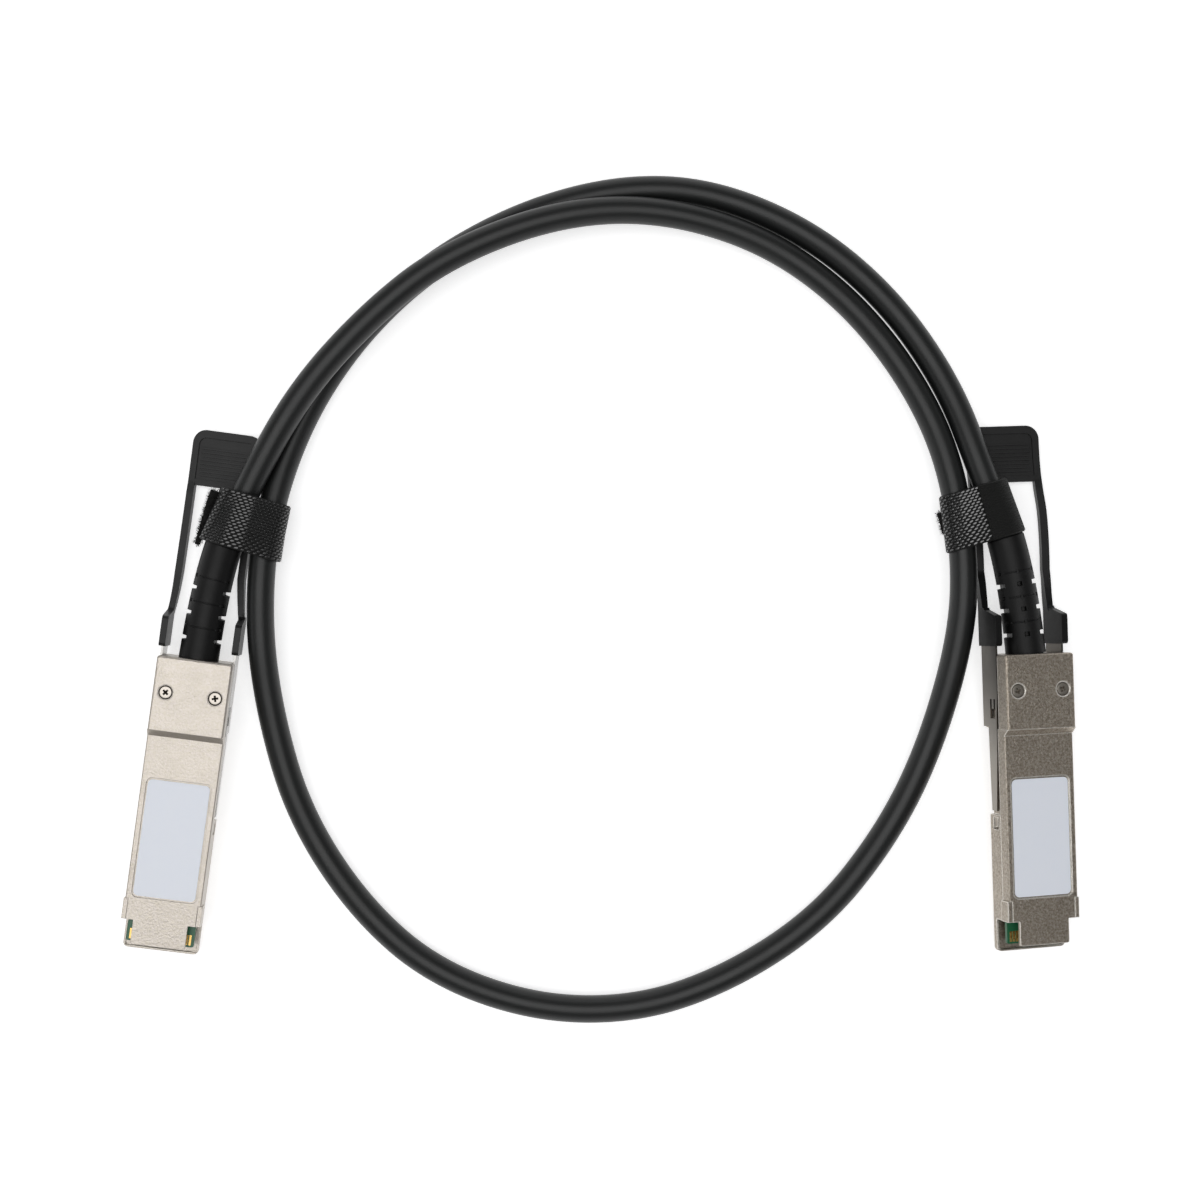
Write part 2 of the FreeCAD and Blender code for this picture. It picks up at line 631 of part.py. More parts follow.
# ================= build both connectors =================
lower = make_lower()
upper = make_upper()
screws = make_screws()
slider = make_slider()
springs = make_springs()
card = make_card()
fingers = make_fingers()
chip = make_chip()
caps = make_caps()
pairs = make_pairs()
mould = make_mould(card, pairs)
ferrule = make_ferrule()
label = make_label()
neck = rod(4.3, neck_v, body_l + 0.4)

for tag, pose, from_end in (("a", pose_a, False), ("b", pose_b, True)):
    for name, shape in (("lower_shell", lower), ("upper_shell", upper), ("shell_screws", screws),
                        ("latch_slider", slider), ("return_springs", springs), ("paddle_card", card),
                        ("contact_fingers", fingers), ("memory_chip", chip),
                        ("coupling_capacitors", caps), ("twinax_pairs", pairs),
                        ("inner_mould", mould), ("crimp_ferrule", ferrule), ("blank_label", label)):
        save(name + "_" + tag, place(shape, pose))
    save("pull_tab_" + tag, make_tab(pose, place(slider, pose)))
    save("strain_relief_" + tag, make_boot(from_end, place(neck, pose)))

save("cable_jacket", cable)

# straps: each goes round the thin end of a boot and the strand that passes beside it
boots = {}
for tag, pose, from_end in (("a", pose_a, False), ("b", pose_b, True)):
    boots[tag] = make_boot(from_end, place(neck, pose))

strap_at = body_l - cord_v + boot_l + 1.3 + strap_l / 2
strap_r = cable_r + strap_gap
for name, from_end, near, far, lap_over, flap_out in (
        ("strap_a", False, 7.0, 13.0, (-1.0, 0.95), strap_flap),
        ("strap_b", True, 7.0, 13.0, (0.66, 3.0), 0.9)):
    own = 3.0 if from_end else 1.0
    c1, way = on_route(strap_at, from_end)
    c2, way2 = nearest(c1, way, near, far)
    if from_end:
        c1, c2 = c2, c1
    if way.dot(way2) < 0:
        way2 = way2 * -1
    way = way * own + way2
    band = make_strap((c1.x, c1.y, c1.z), (c2.x, c2.y, c2.z), strap_r, strap_r, (way.x, way.y, 0),
                      lap_over, flap_out)
    boot = boots["b" if from_end else "a"]
    band = band.cut(cable)
    print(name, [round(k.Volume, 2) for k in band.Solids], "centres", c1, c2, "to boot %.2f" % band.distToShape(boot)[0])
    save(name, max(band.Solids, key=lambda k: k.Volume))
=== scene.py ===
import bisect
import math

import bmesh
import bpy
from mathutils import Matrix, Vector, noise


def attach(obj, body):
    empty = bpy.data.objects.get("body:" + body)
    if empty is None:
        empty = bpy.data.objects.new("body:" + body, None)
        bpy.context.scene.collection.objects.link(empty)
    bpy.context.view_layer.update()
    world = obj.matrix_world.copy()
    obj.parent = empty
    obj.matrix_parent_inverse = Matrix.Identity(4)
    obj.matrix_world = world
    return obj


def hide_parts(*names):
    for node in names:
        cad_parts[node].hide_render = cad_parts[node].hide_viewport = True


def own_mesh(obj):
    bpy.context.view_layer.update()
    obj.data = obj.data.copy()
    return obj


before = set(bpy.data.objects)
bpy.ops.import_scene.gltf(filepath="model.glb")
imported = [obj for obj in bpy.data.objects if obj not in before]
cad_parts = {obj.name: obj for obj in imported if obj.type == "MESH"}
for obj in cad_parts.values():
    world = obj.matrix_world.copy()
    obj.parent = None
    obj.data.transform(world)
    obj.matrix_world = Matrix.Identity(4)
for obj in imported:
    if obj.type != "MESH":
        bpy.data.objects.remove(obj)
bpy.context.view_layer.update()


# --- Floor, lamps and camera -------------------------------------------------
# A wide white sweep under one big soft overhead panel. The panel stands a little
# to the left, so metal tilted to the right mirrors the dim side of the room.
# The camera hangs half a metre above the middle of the coil.
CAMERA_SPOT = (0.00015, 0.02205, 0.500)
CAMERA_LENS = 60.465
FLOOR_SIZE = 6.0
FLOOR_DROP = 0.0002
FLOOR_HEX = "#F2F2F2"
FLOOR_GLOW = 0.56
HORIZON_GLOW = 0.90
ROOM_GLOW = 0.17
# Name, place, width and height in metres, and power in watts; each faces the origin.
PANELS = (
    ("overhead_panel", (-0.12, 0.0, 1.25), (1.0, 1.3), 8.9),
    ("left_panel", (-1.6, -0.1, 0.55), (1.4, 0.7), 1.8),
    ("far_panel", (-0.1, 1.7, 0.55), (1.8, 0.7), 2.9),
    ("near_panel", (-0.1, -1.7, 0.55), (1.8, 0.7), 2.3),
)


def linear(hex_colour):
    """sRGB hex to a linear RGBA tuple."""
    parts = [int(hex_colour[i:i + 2], 16) / 255 for i in (1, 3, 5)]
    return tuple(c / 12.92 if c <= 0.04045 else ((c + 0.055) / 1.055) ** 2.4 for c in parts) + (1.0,)


def add_node(tree, kind, settings=None, inputs=None, links=None):
    """Adds a shader or geometry node; links maps an input to (node, output)."""
    node = tree.nodes.new(kind)
    for name, value in (settings or {}).items():
        setattr(node, name, value)
    for name, value in (inputs or {}).items():
        node.inputs[name].default_value = value
    for name, (source, output) in (links or {}).items():
        tree.links.new(source.outputs[output], node.inputs[name])
    return node


def new_material(name):
    """A material with an empty node tree."""
    material = bpy.data.materials.new(name)
    material.use_nodes = True
    material.node_tree.nodes.clear()
    return material, material.node_tree


def put_in_scene(name, data):
    """An object at the origin that holds this mesh, curve, lamp or camera."""
    made = bpy.data.objects.new(name, data)
    bpy.context.collection.objects.link(made)
    return made


bpy.ops.mesh.primitive_plane_add(size=FLOOR_SIZE, location=(0, 0, -FLOOR_DROP))
floor = bpy.context.object
floor.name = "floor"
# Matt white paper. Camera, glossy and transmission rays see it lifted to white,
# and the object's own soft shadow still shows on it.
sweep, tree = new_material("matt_white_paper")
rays = add_node(tree, "ShaderNodeLightPath")
matt = add_node(tree, "ShaderNodeBsdfDiffuse", inputs={"Color": linear(FLOOR_HEX)})
glow = add_node(tree, "ShaderNodeEmission", inputs={"Color": (1, 1, 1, 1), "Strength": FLOOR_GLOW})
lit = add_node(tree, "ShaderNodeAddShader", links={0: (matt, 0), 1: (glow, 0)})
seen = add_node(tree, "ShaderNodeMath", {"operation": "MAXIMUM"},
                links={0: (rays, "Is Camera Ray"), 1: (rays, "Is Transmission Ray")})
seen = add_node(tree, "ShaderNodeMath", {"operation": "MAXIMUM"},
                links={0: (seen, 0), 1: (rays, "Is Glossy Ray")})
mix = add_node(tree, "ShaderNodeMixShader", links={0: (seen, 0), 1: (matt, 0), 2: (lit, 0)})
add_node(tree, "ShaderNodeOutputMaterial", links={0: (mix, 0)})
floor.data.materials.append(sweep)

# The room is pale at the horizon, behind the paper, and dim higher up.
world = bpy.data.worlds.new("studio")
bpy.context.scene.world = world
world.use_nodes = True
tree = world.node_tree
tree.nodes.clear()
toward = add_node(tree, "ShaderNodeTexCoord")
height = add_node(tree, "ShaderNodeSeparateXYZ", links={0: (toward, "Generated")})
level = add_node(tree, "ShaderNodeMapRange", links={"Value": (height, "Z")},
                 inputs={"From Min": 0.04, "From Max": 0.42, "To Min": HORIZON_GLOW, "To Max": ROOM_GLOW})
room = add_node(tree, "ShaderNodeBackground", inputs={"Color": (0.98, 0.985, 1.0, 1)},
                links={"Strength": (level, 0)})
add_node(tree, "ShaderNodeOutputWorld", links={0: (room, 0)})

for lamp_name, spot, (width, depth), power in PANELS:
    lamp = bpy.data.lights.new(lamp_name, "AREA")
    lamp.shape = "RECTANGLE"
    lamp.size, lamp.size_y = width, depth
    lamp.energy = power
    holder = put_in_scene(lamp_name, lamp)
    holder.location = spot
    holder.rotation_euler = (-Vector(spot)).to_track_quat("-Z", "Y").to_euler()

camera_data = bpy.data.cameras.new("camera")
camera_data.lens = CAMERA_LENS
camera_data.sensor_width = 36.0
camera_data.clip_start = 0.01
camera = put_in_scene("camera", camera_data)
camera.location = CAMERA_SPOT
bpy.context.scene.camera = camera
bpy.context.scene.view_settings.view_transform = "Standard"


# --- Cable -------------------------------------------------------------------
# One round cable with a smooth satin jacket of extruded soft PVC over eight
# shielded pairs, coiled one and a half turns and running into both plugs.
CABLE_DIAMETER = 0.0067
CABLE_POINTS = [
    (-0.09875, 0.00230, 0.00726), (-0.09515, 0.02765, 0.00770), (-0.08460, 0.05160, 0.00995),
    (-0.07265, 0.07265, 0.01070), (-0.05635, 0.09075, 0.01070), (-0.03815, 0.10535, 0.01050),
    (-0.01185, 0.11585, 0.00940), (0.01275, 0.11805, 0.00740), (0.03765, 0.11200, 0.00470),
    (0.05775, 0.09945, 0.00335), (0.07405, 0.08075, 0.00470), (0.08540, 0.05815, 0.00690),
    (0.08940, 0.03165, 0.00850), (0.08805, 0.01075, 0.00770), (0.08025, -0.01705, 0.00440),
    (0.06935, -0.03795, 0.00335), (0.05385, -0.05685, 0.00335), (0.03145, -0.07135, 0.00335),
    (0.00865, -0.07895, 0.00335), (-0.01655, -0.07845, 0.00335), (-0.04135, -0.06935, 0.00335),
    (-0.05945, -0.05325, 0.00335), (-0.07375, -0.03115, 0.00335), (-0.08065, -0.00725, 0.00490),
    (-0.08335, 0.01635, 0.00790), (-0.08175, 0.04075, 0.00700), (-0.07425, 0.06545, 0.00350),
    (-0.06095, 0.08645, 0.00335), (-0.04275, 0.10395, 0.00335), (-0.01955, 0.11695, 0.00335),
    (0.00495, 0.12355, 0.00335), (0.02745, 0.12265, 0.00335), (0.05145, 0.11275, 0.00335),
    (0.07105, 0.09635, 0.00380), (0.08555, 0.07515, 0.00530), (0.09325, 0.05360, 0.00820),
    (0.10215, 0.02855, 0.00900), (0.10442, 0.00365, 0.00878),
]


def pattern_in_mm(tree):
    """Object coordinates in millimetres, so that a texture's scale counts its marks in each one.
    The real grains are mostly finer than 0.1 mm, too fine to show, so they are drawn 0.2 to
    0.6 mm wide."""
    place = add_node(tree, "ShaderNodeTexCoord")
    return add_node(tree, "ShaderNodeMapping", inputs={"Scale": (1000, 1000, 1000)},
                    links={"Vector": (place, "Object")})


def cover(tree, shade, tone, gloss, grain, relief, own, edge=None):
    """Closes a material. Shade gives its colour, tone its roughness between the two
    values of gloss, grain its relief, of (strength, depth), and edge its bevelled
    normal, each as (node, output); own holds what is the same all over."""
    rough = add_node(tree, "ShaderNodeMapRange", inputs={"To Min": gloss[0], "To Max": gloss[1]},
                     links={"Value": tone})
    bump = add_node(tree, "ShaderNodeBump", inputs={"Strength": relief[0], "Distance": relief[1]},
                    links={"Height": grain, "Normal": edge} if edge else {"Height": grain})
    surface = add_node(tree, "ShaderNodeBsdfPrincipled", inputs=own,
                       links={"Base Color": shade, "Roughness": (rough, 0), "Normal": (bump, 0)})
    add_node(tree, "ShaderNodeOutputMaterial", links={0: (surface, 0)})


# Soft PVC, extruded: an even satin black with a very fine pebble and a slow
# drift in gloss from the draw-down, so its one broad sheen is never quite clean.
jacket_pvc, tree = new_material("extruded_soft_pvc")
in_mm = pattern_in_mm(tree)
pebble = add_node(tree, "ShaderNodeTexNoise", inputs={"Scale": 2.4, "Detail": 4.0},
                  links={"Vector": (in_mm, 0)})
drift = add_node(tree, "ShaderNodeTexNoise", inputs={"Scale": 0.10, "Detail": 3.0},
                 links={"Vector": (in_mm, 0)})
shade = add_node(tree, "ShaderNodeMix", {"data_type": "RGBA"},
                 inputs={6: linear("#121413"), 7: linear("#191A1A")}, links={0: (drift, "Fac")})
cover(tree, (shade, 2), (drift, "Fac"), (0.34, 0.46), (pebble, "Fac"), (0.18, 0.0001), {"IOR": 1.45})

cable_curve = bpy.data.curves.new("cable", "CURVE")
cable_curve.dimensions = "3D"
cable_curve.bevel_depth = CABLE_DIAMETER / 2
cable_curve.bevel_resolution = 10
cable_curve.resolution_u = 24
cable_curve.use_fill_caps = True
spline = cable_curve.splines.new("NURBS")
spline.points.add(len(CABLE_POINTS) - 1)
for point, spot in zip(spline.points, CABLE_POINTS):
    point.co = (*spot, 1.0)
spline.order_u = 3
spline.use_endpoint_u = True
cable = put_in_scene("cable", cable_curve)
cable_curve.materials.append(jacket_pvc)
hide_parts("cable_jacket")
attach(cable, "cable_assembly")


# --- Plug shells -------------------------------------------------------------
# Each plug is a lower and an upper half, die-cast in zinc alloy, tumbled smooth
# and nickel plated, held together by two screws in its nose.
def dress(node, material):
    """Gives a CAD node its finish."""
    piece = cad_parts[node]
    piece.data.materials.clear()
    piece.data.materials.append(material)


def cast_plate(name, bright, dull, rubbed_edge_and_highlight, gloss, peel_depth, edge_width):
    """Nickel over a tumbled casting: fine orange-peel, flecks of lighter and duller plate, and edges painted
    lighter, partly real wear and partly a painted highlight.
    """
    material, tree = new_material(name)
    in_mm = pattern_in_mm(tree)
    peel = add_node(tree, "ShaderNodeTexNoise", inputs={"Scale": 1.7, "Detail": 5.0, "Roughness": 0.62},
                    links={"Vector": (in_mm, 0)})
    cloud = add_node(tree, "ShaderNodeTexNoise", inputs={"Scale": 0.22, "Detail": 4.0},
                     links={"Vector": (in_mm, 0)})
    fleck = add_node(tree, "ShaderNodeTexNoise", inputs={"Scale": 1.9, "Detail": 3.0, "Roughness": 0.6},
                     links={"Vector": (in_mm, 0)})
    patchy = add_node(tree, "ShaderNodeMapRange", inputs={"From Min": 0.34, "From Max": 0.66},
                      links={"Value": (fleck, "Fac")})
    edge = add_node(tree, "ShaderNodeBevel", {"samples": 6}, {"Radius": edge_width})
    flat = add_node(tree, "ShaderNodeNewGeometry")
    # Edges turn lighter along the bevel: part real wear, part painted highlight.
    facing = add_node(tree, "ShaderNodeVectorMath", {"operation": "DOT_PRODUCT"},
                      links={0: (edge, 0), 1: (flat, "Normal")})
    edge_rub_and_highlight = add_node(tree, "ShaderNodeMapRange", inputs={"From Min": 0.99, "From Max": 0.86},
                    links={"Value": (facing, "Value")})
    plate = add_node(tree, "ShaderNodeMix", {"data_type": "RGBA"},
                     inputs={6: linear(dull), 7: linear(bright)}, links={0: (patchy, 0)})
    shade = add_node(tree, "ShaderNodeMix", {"data_type": "RGBA"}, inputs={7: linear(rubbed_edge_and_highlight)},
                     links={0: (edge_rub_and_highlight, 0), 6: (plate, 2)})
    cover(tree, (shade, 2), (cloud, "Fac"), gloss, (peel, "Fac"), (0.8, peel_depth), {"Metallic": 1.0},
          edge=(edge, 0))
    return material


# Both plugs carry the same nickel. The second is a darker, more flecked copy of it, painted shade for the dim
# side of the room that its tilted top mirrors.
bright_nickel = cast_plate("tumbled_bright_nickel", "#B7B0AA", "#AFA89C", "#D0CAC2", (0.30, 0.40),
                           0.00014, 0.00018)
shaded_nickel = cast_plate("tumbled_nickel_painted_shade", "#B4AA9D", "#867D71", "#F0ECE4", (0.28, 0.40),
                          0.00024, 0.00050)
for tag, plating in (("a", bright_nickel), ("b", shaded_nickel)):
    dress("lower_shell_" + tag, plating)
    dress("upper_shell_" + tag, plating)


# --- Release slider ----------------------------------------------------------
# Stamped from half-millimetre stainless strip and folded round the nose. Rolling
# leaves it flatter and brighter than the castings, with a faint lengthwise grain.
SHADE_HEX = "#3E3B37"
# Along y in mm: where the painted shade, a dark reflection, starts and where it is darkest.
SHADE_START = -16.0
SHADE_DARKEST = 4.0
SHADE_SHARE = 0.72


def smooth_metal(name, colour, dark, gloss, grain_scale, strength, stretch=(1, 1, 1), painted_shade=0.0):
    """Rolled, drawn or plated metal: a grain of so many marks in a millimetre, drawn out by
    stretch, under slow clouds in colour and gloss. Painted shade is how much of the colour a
    painted dark reflection hides where it is darkest."""
    material, tree = new_material(name)
    in_mm = pattern_in_mm(tree)
    along = add_node(tree, "ShaderNodeMapping", inputs={"Scale": stretch}, links={"Vector": (in_mm, 0)})
    grain = add_node(tree, "ShaderNodeTexNoise", inputs={"Scale": grain_scale, "Detail": 3.0},
                     links={"Vector": (along, 0)})
    cloud = add_node(tree, "ShaderNodeTexNoise", inputs={"Scale": 0.25, "Detail": 4.0},
                     links={"Vector": (in_mm, 0)})
    edge = add_node(tree, "ShaderNodeBevel", {"samples": 4}, {"Radius": 0.00008})
    shade = add_node(tree, "ShaderNodeMix", {"data_type": "RGBA"},
                     inputs={6: linear(dark), 7: linear(colour)}, links={0: (cloud, "Fac")})
    # Painted shade: a dark reflection laid over the colour, deepening along y.
    if painted_shade:
        place = add_node(tree, "ShaderNodeSeparateXYZ", links={0: (in_mm, 0)})
        shade_ramp = add_node(tree, "ShaderNodeMapRange", links={"Value": (place, "Y")},
                        inputs={"From Min": SHADE_START, "From Max": SHADE_DARKEST, "To Max": painted_shade})
        shade = add_node(tree, "ShaderNodeMix", {"data_type": "RGBA"}, inputs={7: linear(SHADE_HEX)},
                         links={0: (shade_ramp, 0), 6: (shade, 2)})
    cover(tree, (shade, 2), (cloud, "Fac"), gloss, (grain, "Fac"), (strength, 0.00005), {"Metallic": 1.0},
          edge=(edge, 0))
    return material


# The second slider is the same steel, painted darker, with painted shade for a dark reflection that is
# deepest over the nose.
rolled_steel = smooth_metal("rolled_stainless", "#AFADAA", "#9F9D9A", (0.22, 0.32), 2.2, 0.12,
                            (3.0, 0.25, 3.0))
shaded_steel = smooth_metal("rolled_stainless_painted_shade", "#98938C", "#8A857D", (0.26, 0.36), 2.2, 0.12,
                           (3.0, 0.25, 3.0), SHADE_SHARE)
dress("latch_slider_a", rolled_steel)
dress("latch_slider_b", shaded_steel)


# --- Return springs ----------------------------------------------------------
# Two small compression springs of drawn wire push each slider home, each caught
# between a lug of the slider and a seat in the lower shell. Drawing leaves the
# wire clean and shiny; the coils close up as the slider is pulled.
SPRING_RADIUS = 0.0010
WIRE_RADIUS = 0.00015
SPRING_LENGTH = 0.00888
SPRING_TURNS = 7.0
SPRING_ACROSS = 0.0050
SPRING_SEAT = 0.0694
SPRING_UP = -0.00055
# Where each plug's front lies, and how it is turned and rolled there.
PLUG_FRAMES = {
    "a": (Vector((-0.1080036, -0.0640585, 0.0032697)), math.radians(-7.7), math.radians(4.0)),
    "b": (Vector((0.1054225, -0.0633516, 0.0049350)), math.radians(1.8), math.radians(16.0)),
}


def plug_turn(tag):
    """Rotation from a plug's own directions, across, along and up, to the scene's."""
    _, yaw, roll = PLUG_FRAMES[tag]
    return Matrix.Rotation(yaw, 3, "Z") @ Matrix.Rotation(roll, 3, "Y")


def crease(mesh, degrees):
    """Smooth shading, with hard creases where faces meet at more than this angle."""
    mesh.polygons.foreach_set("use_smooth", [True] * len(mesh.polygons))
    mesh.set_sharp_from_angle(angle=math.radians(degrees))


def open_tree(name, sockets, result):
    """A geometry tree with (title, kind) inputs and one result; returns it with its input node."""
    tree = bpy.data.node_groups.new(name, "GeometryNodeTree")
    for title, kind in sockets:
        tree.interface.new_socket(title, in_out="INPUT", socket_type="NodeSocket" + kind)
    tree.interface.new_socket(result, in_out="OUTPUT", socket_type="NodeSocketGeometry")
    return tree, add_node(tree, "NodeGroupInput")


def close_tree(tree, made, material, marked=(), smooth=False):
    """Realizes what the tree made and gives it its material; marked adds others, each
    as (attribute, material) for the faces that the attribute marks."""
    real = add_node(tree, "GeometryNodeRealizeInstances", links={"Geometry": made})
    if smooth:
        real = add_node(tree, "GeometryNodeSetShadeSmooth", links={"Geometry": (real, 0)})
    finish = add_node(tree, "GeometryNodeSetMaterial", inputs={"Material": material},
                      links={"Geometry": (real, 0)})
    for mark, other in marked:
        chosen = add_node(tree, "GeometryNodeInputNamedAttribute", {"data_type": "BOOLEAN"}, {"Name": mark})
        finish = add_node(tree, "GeometryNodeSetMaterial", inputs={"Material": other},
                          links={"Geometry": (finish, 0), "Selection": (chosen, "Attribute")})
    add_node(tree, "NodeGroupOutput", links={0: (finish, 0)})
    return tree


def grown(name, mesh, tree, values):
    """Runs a geometry tree on a mesh and returns the plain mesh that it makes."""
    holder = put_in_scene(name, mesh)
    modifier = holder.modifiers.new("tree", "NODES")
    modifier.node_group = tree
    for item in tree.interface.items_tree:
        if item.in_out == "INPUT" and item.name in values:
            modifier[item.identifier] = values[item.name]
    bpy.context.view_layer.update()
    made = bpy.data.meshes.new_from_object(holder.evaluated_get(bpy.context.evaluated_depsgraph_get()))
    bpy.data.objects.remove(holder)
    made.name = name
    return made


def wound_springs_tree(material):
    """Winds a coil of round wire from every point along the point's "way"."""
    sizes = [(title, "Float") for title in ("Coil radius", "Wire radius", "Length", "Turns")]
    tree, given = open_tree("wound_springs", [("Points", "Geometry"), *sizes], "Springs")
    coil = add_node(tree, "GeometryNodeCurveSpiral", inputs={"Resolution": 24},
                    links={"Rotations": (given, "Turns"), "Start Radius": (given, "Coil radius"),
                           "End Radius": (given, "Coil radius"), "Height": (given, "Length")})
    wire = add_node(tree, "GeometryNodeCurvePrimitiveCircle", {"mode": "RADIUS"}, {"Resolution": 10},
                    {"Radius": (given, "Wire radius")})
    swept = add_node(tree, "GeometryNodeCurveToMesh", inputs={"Fill Caps": True},
                     links={"Curve": (coil, "Curve"), "Profile Curve": (wire, "Curve")})
    way = add_node(tree, "GeometryNodeInputNamedAttribute", {"data_type": "FLOAT_VECTOR"}, {"Name": "way"})
    aim = add_node(tree, "FunctionNodeAlignRotationToVector", {"axis": "Z"},
                   links={"Vector": (way, "Attribute")})
    set_on = add_node(tree, "GeometryNodeInstanceOnPoints",
                      links={"Points": (given, "Points"), "Instance": (swept, "Mesh"),
                             "Rotation": (aim, "Rotation")})
    return close_tree(tree, (set_on, "Instances"), material, smooth=True)


drawn_wire = smooth_metal("drawn_spring_wire", "#C2C2C2", "#AEAEAE", (0.2, 0.3), 3.0, 0.1)
wind_springs = wound_springs_tree(drawn_wire)
for tag, (origin, _, _) in PLUG_FRAMES.items():
    turn = plug_turn(tag)
    forward = turn @ Vector((0, -1, 0))
    seats = bpy.data.meshes.new("spring_seats")
    seats.from_pydata([origin + turn @ Vector((side * SPRING_ACROSS, SPRING_SEAT - WIRE_RADIUS, SPRING_UP))
                       for side in (-1, 1)], [], [])
    seats.attributes.new("way", "FLOAT_VECTOR", "POINT").data.foreach_set("vector", [*forward, *forward])
    mesh = grown("return_springs_" + tag, seats, wind_springs,
                 {"Coil radius": SPRING_RADIUS, "Wire radius": WIRE_RADIUS,
                  "Length": SPRING_LENGTH - 2 * WIRE_RADIUS, "Turns": SPRING_TURNS})
    crease(mesh, 50)
    springs = put_in_scene("compression_springs_" + tag, mesh)
    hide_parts("return_springs_" + tag)
    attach(springs, "cable_assembly")
    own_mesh(springs)


# --- Shell screws ------------------------------------------------------------
# Two nickel plated cross-recess screws pull the halves of each plug together.
# Each sits in a small countersink, which with the recess stays dull; on the first plug both are painted dark,
# as painted shade.
SCREW_HEAD_RADIUS = 0.00149
SCREW_SEAT_RADIUS = 0.00172
SCREW_HEAD_TOP = 0.01022
SCREW_DEPTH = 0.00125
SCREW_SIDES = 48
SCREW_ACROSS = 0.00597
SCREW_ALONG = 0.0637
# Radius less than the head's, and depth, of each ring from the crown down.
SCREW_CROWN = ((0.00020, 0.0), (0.00008, 0.00003), (0.0, 0.00014), (0.0, 0.00046))
SEAT_DEPTH = 0.00006
CROSS_ARM = 0.00078
CROSS_HALF_WIDTH = 0.00024
CROSS_DEPTH = 0.00055
CROSS_PIT_DEPTH = 0.00085
CROSS_TAPER = 0.62


def mesh_of(bm, name, turn_out=True):
    """Ends a bmesh as a plain mesh, with its faces turned outwards unless they already are."""
    if turn_out:
        bmesh.ops.recalc_face_normals(bm, faces=bm.faces)
    mesh = bpy.data.meshes.new(name)
    bm.to_mesh(mesh)
    bm.free()
    return mesh


def screw_mesh():
    """Head, cross recess and countersink, with the head's top at z 0; faces that stay dull are marked."""
    bm = bmesh.new()
    dull = bm.faces.layers.bool.new("dull")

    def ring(radius, z):
        turns = [2 * math.pi * k / SCREW_SIDES for k in range(SCREW_SIDES)]
        return [bm.verts.new((radius * math.cos(turn), radius * math.sin(turn), z)) for turn in turns]

    def wall(upper, lower, is_dull):
        for k in range(len(upper)):
            n = (k + 1) % len(upper)
            bm.faces.new((upper[k], lower[k], lower[n], upper[n]))[dull] = is_dull

    def loop_edges(loop):
        return [bm.edges.get((loop[k], loop[(k + 1) % len(loop)])) for k in range(len(loop))]

    crown = [ring(SCREW_HEAD_RADIUS - less, -depth) for less, depth in SCREW_CROWN]
    for upper, lower in zip(crown, crown[1:]):
        wall(upper, lower, False)
    seat = ring(SCREW_SEAT_RADIUS, -SEAT_DEPTH)
    wall(crown[-1], seat, True)
    skirt = ring(SCREW_SEAT_RADIUS, -SCREW_DEPTH)
    wall(seat, skirt, True)
    bm.faces.new(skirt)[dull] = True
    a, h = CROSS_ARM, CROSS_HALF_WIDTH
    outline = [(a, h), (h, h), (h, a), (-h, a), (-h, h), (-a, h),
               (-a, -h), (-h, -h), (-h, -a), (h, -a), (h, -h), (a, -h)]
    rim = [bm.verts.new((x, y, 0.0)) for x, y in outline]
    foot = [bm.verts.new((x * CROSS_TAPER, y * CROSS_TAPER, -CROSS_DEPTH)) for x, y in outline]
    wall(rim[::-1], foot[::-1], True)
    pit = bm.verts.new((0, 0, -CROSS_PIT_DEPTH))
    for k in range(len(foot)):
        bm.faces.new((foot[k], foot[(k + 1) % len(foot)], pit))[dull] = True
    bmesh.ops.triangle_fill(bm, edges=loop_edges(rim) + loop_edges(crown[0]), use_beauty=True)
    mesh = mesh_of(bm, "cross_recess_screw")
    crease(mesh, 35)
    return mesh


def screws_tree(shiny, dull):
    """Sets the screw on every point, its axis along the point's "up" and turned by its "spin"."""
    tree, given = open_tree("set_screws", [("Points", "Geometry"), ("Screw", "Object"), ("Size", "Float")],
                            "Screws")
    screw = add_node(tree, "GeometryNodeObjectInfo", links={"Object": (given, "Screw")})
    up = add_node(tree, "GeometryNodeInputNamedAttribute", {"data_type": "FLOAT_VECTOR"}, {"Name": "up"})
    spin = add_node(tree, "GeometryNodeInputNamedAttribute", {"data_type": "FLOAT"}, {"Name": "spin"})
    stand = add_node(tree, "FunctionNodeAlignRotationToVector", {"axis": "Z"},
                     links={"Vector": (up, "Attribute")})
    axis = add_node(tree, "ShaderNodeCombineXYZ", links={"Z": (spin, "Attribute")})
    turn = add_node(tree, "FunctionNodeRotateRotation", {"rotation_space": "LOCAL"},
                    links={"Rotation": (stand, "Rotation"), "Rotate By": (axis, 0)})
    set_on = add_node(tree, "GeometryNodeInstanceOnPoints",
                      links={"Points": (given, "Points"), "Instance": (screw, "Geometry"),
                             "Rotation": (turn, "Rotation"), "Scale": (given, "Size")})
    return close_tree(tree, (set_on, "Instances"), shiny, marked=[("dull", dull)])
